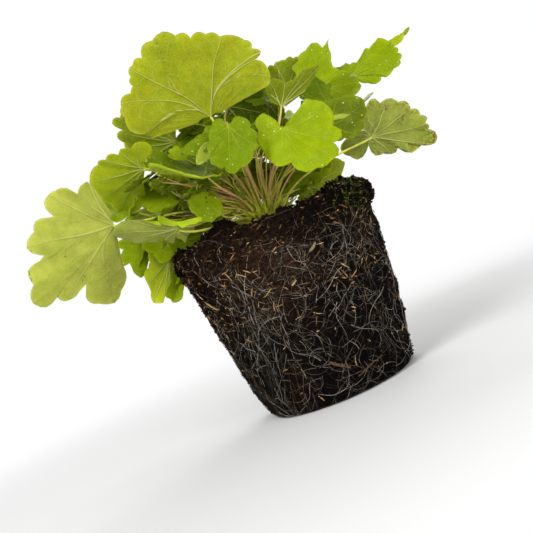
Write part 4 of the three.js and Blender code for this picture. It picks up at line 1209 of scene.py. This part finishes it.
def add_chips(skin):
    """Bark chips and straw in the upper third and on top, mostly lying level."""
    random = np.random.default_rng(23)
    shell = Shell()
    for count, low, high in CHIP_ZONES:
        turns, runs = scatter(count, low, high, random)
        places, outs = ball_surface(turns, runs)
        for turn, at, out in zip(turns, places, outs):
            around = np.array([-math.sin(turn), math.cos(turn), 0])
            slant = random.normal(0, 0.75)
            level = unit(around * math.cos(slant) + np.cross(out, around) * math.sin(slant))
            length = 1.2 + 4.6 * random.uniform() ** 2.4
            colour = CHIP_COLOURS[random.integers(len(CHIP_COLOURS))]
            at = at + out * random.uniform(0, CHIP_LIFT)
            add_chip(shell, at, out, level, length, random.uniform(0.2, 0.65), 0.3, colour, random)
    for x, z, length, width, slant, colour in NEAR_CHIPS:
        turn, run = near_turn(x, z)
        at, out = ball_surface(turn, run)
        around = np.array([-math.sin(turn), math.cos(turn), 0])
        lean = math.radians(slant)
        level = unit(around * math.cos(lean) + np.cross(out, around) * math.sin(lean))
        add_chip(shell, at + out * 0.3, out, level, length, width, 0.7, colour, random)
    return shell.piece("bark_chips", [skin], smooth=False)


ROOT_COLOURS = [(228, 218, 202), (204, 192, 174), (172, 156, 136), (182, 154, 118), (140, 114, 86)]
FIBRE_COLOURS = [(160, 122, 74), (118, 88, 54), (82, 60, 38), (190, 154, 104), (96, 76, 46)]
ROOT_STEP = 2.0
# Where roots start: how many, lowest and highest height, x of the middle and its spread (None: all round),
# mean length and how curly.
ROOT_ZONES = [
    dict(count=540, low=4, high=98, length=28, curl=0.11),
    dict(count=430, low=4, high=96, length=12, curl=0.2),
    dict(count=70, low=3, high=26, middle=16, spread=16, length=18, curl=0.1),
    dict(count=190, low=50, high=90, middle=30, spread=13, length=16, curl=0.07),
    dict(count=170, low=42, high=80, middle=-24, spread=14, length=15, curl=0.12),
    dict(count=100, low=8, high=58, middle=-34, spread=9, length=28, curl=0.05, steep=True),
    dict(count=230, low=20, high=96, middle=6, spread=26, length=13, curl=0.17),
    dict(count=260, low=86, high=103, length=6, curl=0.3, fibre=True),
    dict(count=240, low=84, high=104, middle=-14, spread=30, length=6, curl=0.3, fibre=True),
    dict(count=180, on_top=True, length=6, curl=0.3, fibre=True),
]


def add_root(shell, turn, run, length, curl, steep, thick, colour, random):
    """One root that creeps over the ball's surface, now and then diving just under it."""
    steps = max(4, round(length / ROOT_STEP))
    mean, spread = (1.35, 0.25) if steep else (0, 1.4)
    heading = random.normal(mean, spread)
    heading += math.pi if random.uniform() < 0.5 else 0
    stray = np.cumsum(random.normal(0, curl, steps))
    snake = np.sin(np.linspace(0, random.uniform(2, 7), steps) + random.uniform(0, 6))
    bend = curl * 1.6 * snake + stray * 0.35
    way = heading + np.cumsum(bend) * (0.25 if steep else 1)
    run_at = np.clip(run + np.cumsum(np.sin(way)) * ROOT_STEP, FOOT_RUN + 1.5, max(run, RIM_RUN + 4))
    radius = np.interp(run_at, PROFILE_RUN, PROFILE[:, 0])
    turn_at = turn + np.cumsum(np.cos(way) * ROOT_STEP / radius)
    at, out = ball_surface(turn_at, run_at)
    lift = 0.36 + 0.35 * np.sin(np.linspace(0, random.uniform(3, 12), steps) + random.uniform(0, 6))
    lift[[0, -1]] = -0.7
    path = at + out * lift[:, None]
    width = thick * np.linspace(1, 0.55, steps)
    points, faces = tube(path, width, 3, out)
    tint = linear(colour) * (0.05 + 0.85 * random.uniform() ** 2.5)
    shell.add(points, faces, tint=tint)


def add_roots(skin):
    """Fine pale roots matted over the side of the ball."""
    random = np.random.default_rng(34)
    shell = Shell()
    for zone in ROOT_ZONES:
        for _ in range(zone["count"]):
            z = random.uniform(zone.get("low", 0), zone.get("high", 0))
            turn, run = random.uniform(0, 2 * math.pi), np.interp(z, PROFILE[1:7, 1], PROFILE_RUN[1:7])
            if "on_top" in zone:
                run = random.uniform(RIM_RUN + 3, TOP_RUN - 22)
            if "middle" in zone:
                turn, run = near_turn(random.normal(zone["middle"], zone["spread"]), z)
            length = zone["length"] * random.uniform(0.5, 1.7)
            thick = 0.075 + 0.1 * random.uniform() ** 2.5
            colours = FIBRE_COLOURS if "fibre" in zone else ROOT_COLOURS
            colour = colours[min(4, int(abs(random.normal(0, 1.9))))]
            add_root(shell, turn, run, length, zone["curl"], zone.get("steep", False), thick, colour, random)
    return shell.piece("fine_roots", [skin])


MOSS_COLOURS = [(76, 88, 28), (56, 66, 22), (98, 108, 34), (46, 48, 20)]
MOSS_ZONES = [(30, 22, 12, 200), (52, 6, 7, 100), (45, -46, 8, 220), (-12, -40, 9, 60), (10, 52, 12, 100)]


def add_moss(skin):
    """Tufts of moss on the soil: short leafy spikes that lean every way."""
    random = np.random.default_rng(45)
    shell = Shell()
    for x, y, spread, count in MOSS_ZONES:
        places = random.normal((x, y), spread, (count, 2))
        radius = np.hypot(places[:, 0], places[:, 1])
        places = places[(radius < 78) & (np.hypot(*(places - [CROWN["x"], CROWN["y"]]).T) > 19)]
        radius = np.hypot(places[:, 0], places[:, 1])
        at, out = ball_surface(np.arctan2(places[:, 1], places[:, 0]), TOP_RUN - radius)
        for foot, up in zip(at, out):
            lean = unit(up + random.normal(0, 0.55, 3))
            path = foot + np.outer([-0.4, 0.8, 1.7], lean) * random.uniform(0.6, 1.3)
            points, faces = tube(path, [0.5, 0.42, 0.08], 4, unit(random.normal(size=3)))
            shell.add(points, faces, tint=linear(MOSS_COLOURS[random.integers(4)]))
    return shell.piece("moss", [skin])


# ---------------------------------------------------------------------------------------------------------
# Young leaves that are too small for a CAD node of their own

YOUNG_LEAVES = [
    # pale and folded, between the two small front leaves
    dict(at=(-14, -56, 156), heading=190, pitch=-38, roll=-75, length=15, seed=61, arrive=10, rise=0.4,
         cup=0.5, upper=YOUNG, under=YOUNG,
         edge=[(-100, 2, 0.1), (-50, 5, 0.1), (-20, 10, 0.1), (0, 16, 0.1), (20, 10, 0.1), (50, 5, 0.1),
               (100, 2)]),
    # small, at the end of the dark scoop
    dict(at=(-33, -46, 159), heading=200, pitch=0, roll=-60, length=7, seed=62, cup=0.3, upper=LIME,
         under=OLIVE),
    # pale, edge-on, in front of the dark leaf at the right
    dict(at=(51, -32, 147), heading=350, pitch=-15, roll=-80, length=12, seed=63, cup=0.4, upper=YOUNG,
         under=YOUNG,
         edge=[(-70, 1.5, 0), (-25, 3, 0), (-10, 8, 0), (0, 13, 0), (10, 8, 0), (25, 3, 0), (70, 1.5)]),
    # unfolding, close to the crown
    dict(at=(-14, -8, 128), heading=200, pitch=50, roll=10, length=9, seed=64, cup=0.5, upper=YOUNG,
         under=OLIVE),
    dict(at=(6, 10, 131), heading=40, pitch=55, roll=0, length=8, seed=65, cup=0.5, upper=YOUNG,
         under=OLIVE),
    dict(at=(-8, 20, 134), heading=110, pitch=50, roll=0, length=10, seed=66, cup=0.4, upper=LIME,
         under=OLIVE),
]
# Small leaves in the shade between the large ones: a row holds the values that SMALL_ROW names
INNER_LEAVES = [
    ((27, 14, 178), 200, -35, 70, 19, 85, SHADE, SHADE),
    ((20, 20, 166), 330, -30, 70, 17, 86, SHADE, DULL),
    ((12, 8, 156), 290, -50, 0, 17, 71, GRASS, DULL),
    ((17, 16, 142), 320, -30, 20, 17, 72, GRASS, DULL),
    ((-14, -4, 153), 215, -35, 10, 18, 73, GRASS, DULL),
    ((-20, 2, 182), 200, -30, 20, 17, 74, GRASS, DULL),
    ((-45, 8, 168), 190, -40, 0, 17, 75, FRESH, DULL),
    ((24, 4, 180), 300, -40, 0, 15, 76, FRESH, DULL),
    ((-76, -2, 147), 200, -50, 0, 16, 77, LIME, OLIVE),
    ((-77, 6, 126), 205, -50, 0, 17, 78, LIME, OLIVE),
    ((-62, 8, 111), 220, -60, 0, 19, 79, LIME, OLIVE),
    ((-52, 2, 136), 195, -10, -20, 18, 80, LIT_LIME, LIT_OLIVE),
    ((-30, 12, 160), 180, -20, -30, 17, 81, LIME, OLIVE),
    ((2, 16, 168), 250, -30, 0, 16, 82, GRASS, DULL),
    ((30, 22, 158), 350, -20, -20, 18, 83, GRASS, DULL),
    ((-10, 30, 150), 120, -10, 0, 18, 84, GRASS, OLIVE),
]
# Behind the stalks, upper side toward the viewer
BACKDROP_LEAVES = [
    ((-7, 10, 182), 190, -12, -50, 20, 137, FRESH, DULL),
    ((-18, 3, 168), 175, 15, -55, 20, 139, GRASS, DULL),
    ((-10, -4, 158), 170, 22, -50, 19, 140, FRESH, DULL),
    ((-50, -2, 150), 178, 5, -50, 19, 138, LIT_LIME, LIT_OLIVE),
    ((20, 25, 124), 80, 62, 0, 21, 141, LIT_LIME, OLIVE),
    ((34, 20, 126), 60, 60, 0, 19, 142, LIT_LIME, OLIVE),
    ((2, 24, 128), 95, 60, 0, 21, 143, DULL, DULL),
    ((-16, 20, 132), 100, 55, 0, 20, 144, GRASS, DULL),
    ((-32, 12, 128), 120, 50, 0, 19, 145, LIME, OLIVE),
    ((-46, 2, 124), 160, 30, -50, 19, 146, LIT_LIME, OLIVE),
    ((-42, -14, 116), 187, 2, -60, 21, 147, GRASS, OLIVE),
    ((-26, -12, 119), 182, 8, -60, 18, 148, FRESH, OLIVE),
    ((-58, -6, 122), 190, 0, -55, 19, 149, LIME, OLIVE),
    ((59, -2, 160), 180, 45, -55, 20, 150, SHADE, SHADE),
]
SMALL_ROW = ("at", "heading", "pitch", "roll", "length", "seed", "upper", "under")
# The chain of two small lobes that goes on from the tip of the long narrow leaf, and the edge that both
# have: angle, reach as a share of their length, and swell.
CHAIN = [
    ((114.5, 27.5, 182.6), 7, 16, 60, 13, 151, LIT_OLIVE, OLIVE),
    ((126, 29, 186), 10, 26, 60, 6.5, 152, LIME, OLIVE),
]
LOBELET = [(-110, 0.12, 0), (-60, 0.25, 0.1), (-28, 0.5, 0.1), (-9, 0.86, 0.1), (0, 1, 0.1), (9, 0.86, 0.1),
           (28, 0.5, 0.1), (60, 0.25, 0), (110, 0.12)]
EXTRA_FEET_SPREAD = 11
# More small leaves on fine stalks: rows of them rise between x and x, each at a repeatable place.
FANS = [
    {"count": 34, "x": (-58, 44), "y": (-22, 40), "z": (138, 172), "length": (10, 17), "first_seed": 101},
    {"count": 36, "x": (-52, 28), "y": (-34, -8), "z": (140, 166), "length": (6, 9), "first_seed": 161},
    {"count": 14, "x": (-60, -26), "y": (-30, -8), "z": (130, 150), "length": (7, 11), "first_seed": 211},
]
FAN_COLOURS = [(GRASS, OLIVE), (LIME, OLIVE), (GRASS, DULL), (LIME, PALE), (FRESH, OLIVE)]


def fan_leaves(fan):
    """Rows of the small leaves that fill the middle of the plant."""
    rows = []
    for i in range(fan["count"]):
        seed = fan["first_seed"] + i
        across = (i + 0.5 + 0.4 * jitter(seed, 1)) / fan["count"]
        x = fan["x"][0] + (fan["x"][1] - fan["x"][0]) * across
        y, z, length = (low + (high - low) * (0.5 + 0.5 * jitter(seed, k))
                        for k, (low, high) in enumerate((fan["y"], fan["z"], fan["length"]), 2))
        upper, under = FAN_COLOURS[i % len(FAN_COLOURS)]
        heading = 180 - 180 * across + 70 * jitter(seed, 5)
        pitch = -20 + 30 * jitter(seed, 6)
        roll = 45 * jitter(seed, 7)
        place = (x, y, z - 0.18 * abs(x + 6))
        rows.append(dict(zip(SMALL_ROW, (place, heading, pitch, roll, length, seed, upper, under))))
    return rows


def add_extra_leaves(skins, stalk_skin):
    """The leaves that have no CAD node, each on a thin stalk of its own, and the chain at a tip."""
    rows = YOUNG_LEAVES + [dict(zip(SMALL_ROW, row)) for row in INNER_LEAVES + BACKDROP_LEAVES]
    for fan in FANS:
        rows = rows + fan_leaves(fan)
    for i, row in enumerate(rows, 1):
        leaf = {**USUAL, **row}
        away = np.array(leaf["at"][:2], float) - (CROWN["x"], CROWN["y"])
        spread = EXTRA_FEET_SPREAD * (0.25 + 0.7 * abs(jitter(leaf["seed"], 90)))
        add_leaf(f"small_blade_{i:02d}", leaf, skins)
        add_stalk(f"small_petiole_{i:02d}", leaf, unit(away) * spread, stalk_skin)
    for i, row in enumerate(CHAIN, 1):
        leaf = {**USUAL, **dict(zip(SMALL_ROW, row))}
        leaf["edge"] = [(angle, share * leaf["length"], *swell) for angle, share, *swell in LOBELET]
        add_leaf(f"tip_lobe_{i}", leaf, skins)


# ---------------------------------------------------------------------------------------------------------
# Camera, lights and floor

CAMERA = {"at": (-14, -460, 84.5), "roll": 23.5, "lens": 51.35}
KEY = {"at": (-420, -620, 760), "size": 420, "power": 5.2}
FILL = {"at": (240, -660, 200), "size": 460, "power": 2.5}
BACK = {"at": (150, 560, 620), "size": 420, "power": 2.6}
AMBIENT = 0.32
AIM = (0, 0, 110)
FLOOR = {"radius": 6, "corners": 96, "plain_to": 0.13, "white_from": 0.55}  # in metres


def add_camera():
    """Level and along +Y, rolled because the photograph holds the plant tilted."""
    roll = math.radians(CAMERA["roll"])
    right = Vector((math.cos(roll), 0, -math.sin(roll)))
    up = Vector((math.sin(roll), 0, math.cos(roll)))
    back = Vector((0, -1, 0))
    camera = bpy.data.objects.new("camera", bpy.data.cameras.new("camera"))
    camera.data.lens, camera.data.sensor_width = CAMERA["lens"], 36
    camera.data.clip_start = 0.01
    turned = Matrix((right, up, back)).transposed().to_4x4()
    camera.matrix_world = Matrix.Translation(Vector(CAMERA["at"]) * MM) @ turned
    bpy.context.scene.collection.objects.link(camera)
    bpy.context.scene.camera = camera


def add_light(name, at, size, power):
    light = bpy.data.lights.new(name, "AREA")
    light.shape, light.size, light.energy = "DISK", size * MM, power
    lamp = bpy.data.objects.new(name, light)
    lamp.location = Vector(at) * MM
    aim = Vector(AIM) * MM - lamp.location
    lamp.rotation_euler = aim.to_track_quat("-Z", "Y").to_euler()
    bpy.context.scene.collection.objects.link(lamp)


def add_world():
    """White to the camera, a softer even light on the plant."""
    world = bpy.data.worlds.new("studio")
    world.use_nodes = True
    tree = world.node_tree
    sky = tree.nodes["Background"]
    sky.inputs["Color"].default_value = (1, 1, 1, 1)
    ray = tree.nodes.new("ShaderNodeLightPath")
    strength = tree.nodes.new("ShaderNodeMapRange")
    strength.inputs["To Min"].default_value = AMBIENT
    tree.links.new(ray.outputs["Is Camera Ray"], strength.inputs["Value"])
    tree.links.new(strength.outputs[0], sky.inputs["Strength"])
    bpy.context.scene.world = world


def floor_material():
    """Pale and matt near the plant, and as white as the backdrop farther out."""
    g = Graph("floor")
    g.finish(Base_Color=(0.93, 0.93, 0.93, 1), Roughness=0.9, Specular_IOR_Level=0.1)
    white = g.node("Emission", {"Color": (1, 1, 1, 1), "Strength": 1.0})
    away = g.node("VectorMath", {0: g.place()}, output="Value", operation="LENGTH")
    share = g.between(away, FLOOR["plain_to"], FLOOR["white_from"])
    blend = g.node("MixShader", {0: share, 1: g.shader.outputs[0], 2: white})
    g.put(g.tree.nodes["Material Output"].inputs["Surface"], blend)
    return g.material


def add_floor():
    corners, radius = FLOOR["corners"], FLOOR["radius"]
    turn = np.linspace(0, 2 * np.pi, corners, endpoint=False)
    rim = np.stack([radius * np.cos(turn), radius * np.sin(turn), 0 * turn], axis=-1)
    mesh = bpy.data.meshes.new("floor")
    mesh.from_pydata(rim.tolist(), [], [list(range(corners))])
    mesh.materials.append(floor_material())
    floor = bpy.data.objects.new("floor", mesh)
    bpy.context.scene.collection.objects.link(floor)


def add_stage():
    add_camera()
    add_world()
    add_floor()
    for name, lamp in (("key", KEY), ("fill", FILL), ("back", BACK)):
        add_light(name, **lamp)
    bpy.context.scene.view_settings.view_transform = "Standard"


# ---------------------------------------------------------------------------------------------------------


def add_plant():
    skins = [leaf_material(name) for name in SIDES]
    stalk_skin = stalk_material()
    for number, (leaf, foot) in enumerate(zip(LEAVES, stalk_feet()), 1):
        add_leaf(f"blade_{number:02d}", leaf, skins, [f"leaf_{number:02d}"])
        add_stalk(f"petiole_{number:02d}", leaf, foot, stalk_skin, [f"stalk_{number:02d}"])
    add_extra_leaves(skins, stalk_skin)
    add_crown(crown_material())
    add_ball(soil_material())
    crumb_skin = fleck_material("soil_crumb", 0.8, 0.7, 0.85)
    add_crumbs(crumb_skin)
    add_leaf_crumbs(crumb_skin)
    add_chips(fleck_material("bark_chip", 0.9, 0.75, 0.8))
    add_roots(fleck_material("root_fibre", 2.2, 0.85, 0.7))
    add_moss(fleck_material("moss_leaf", 1.0, 0.5, 0.8))


add_stage()
add_plant()
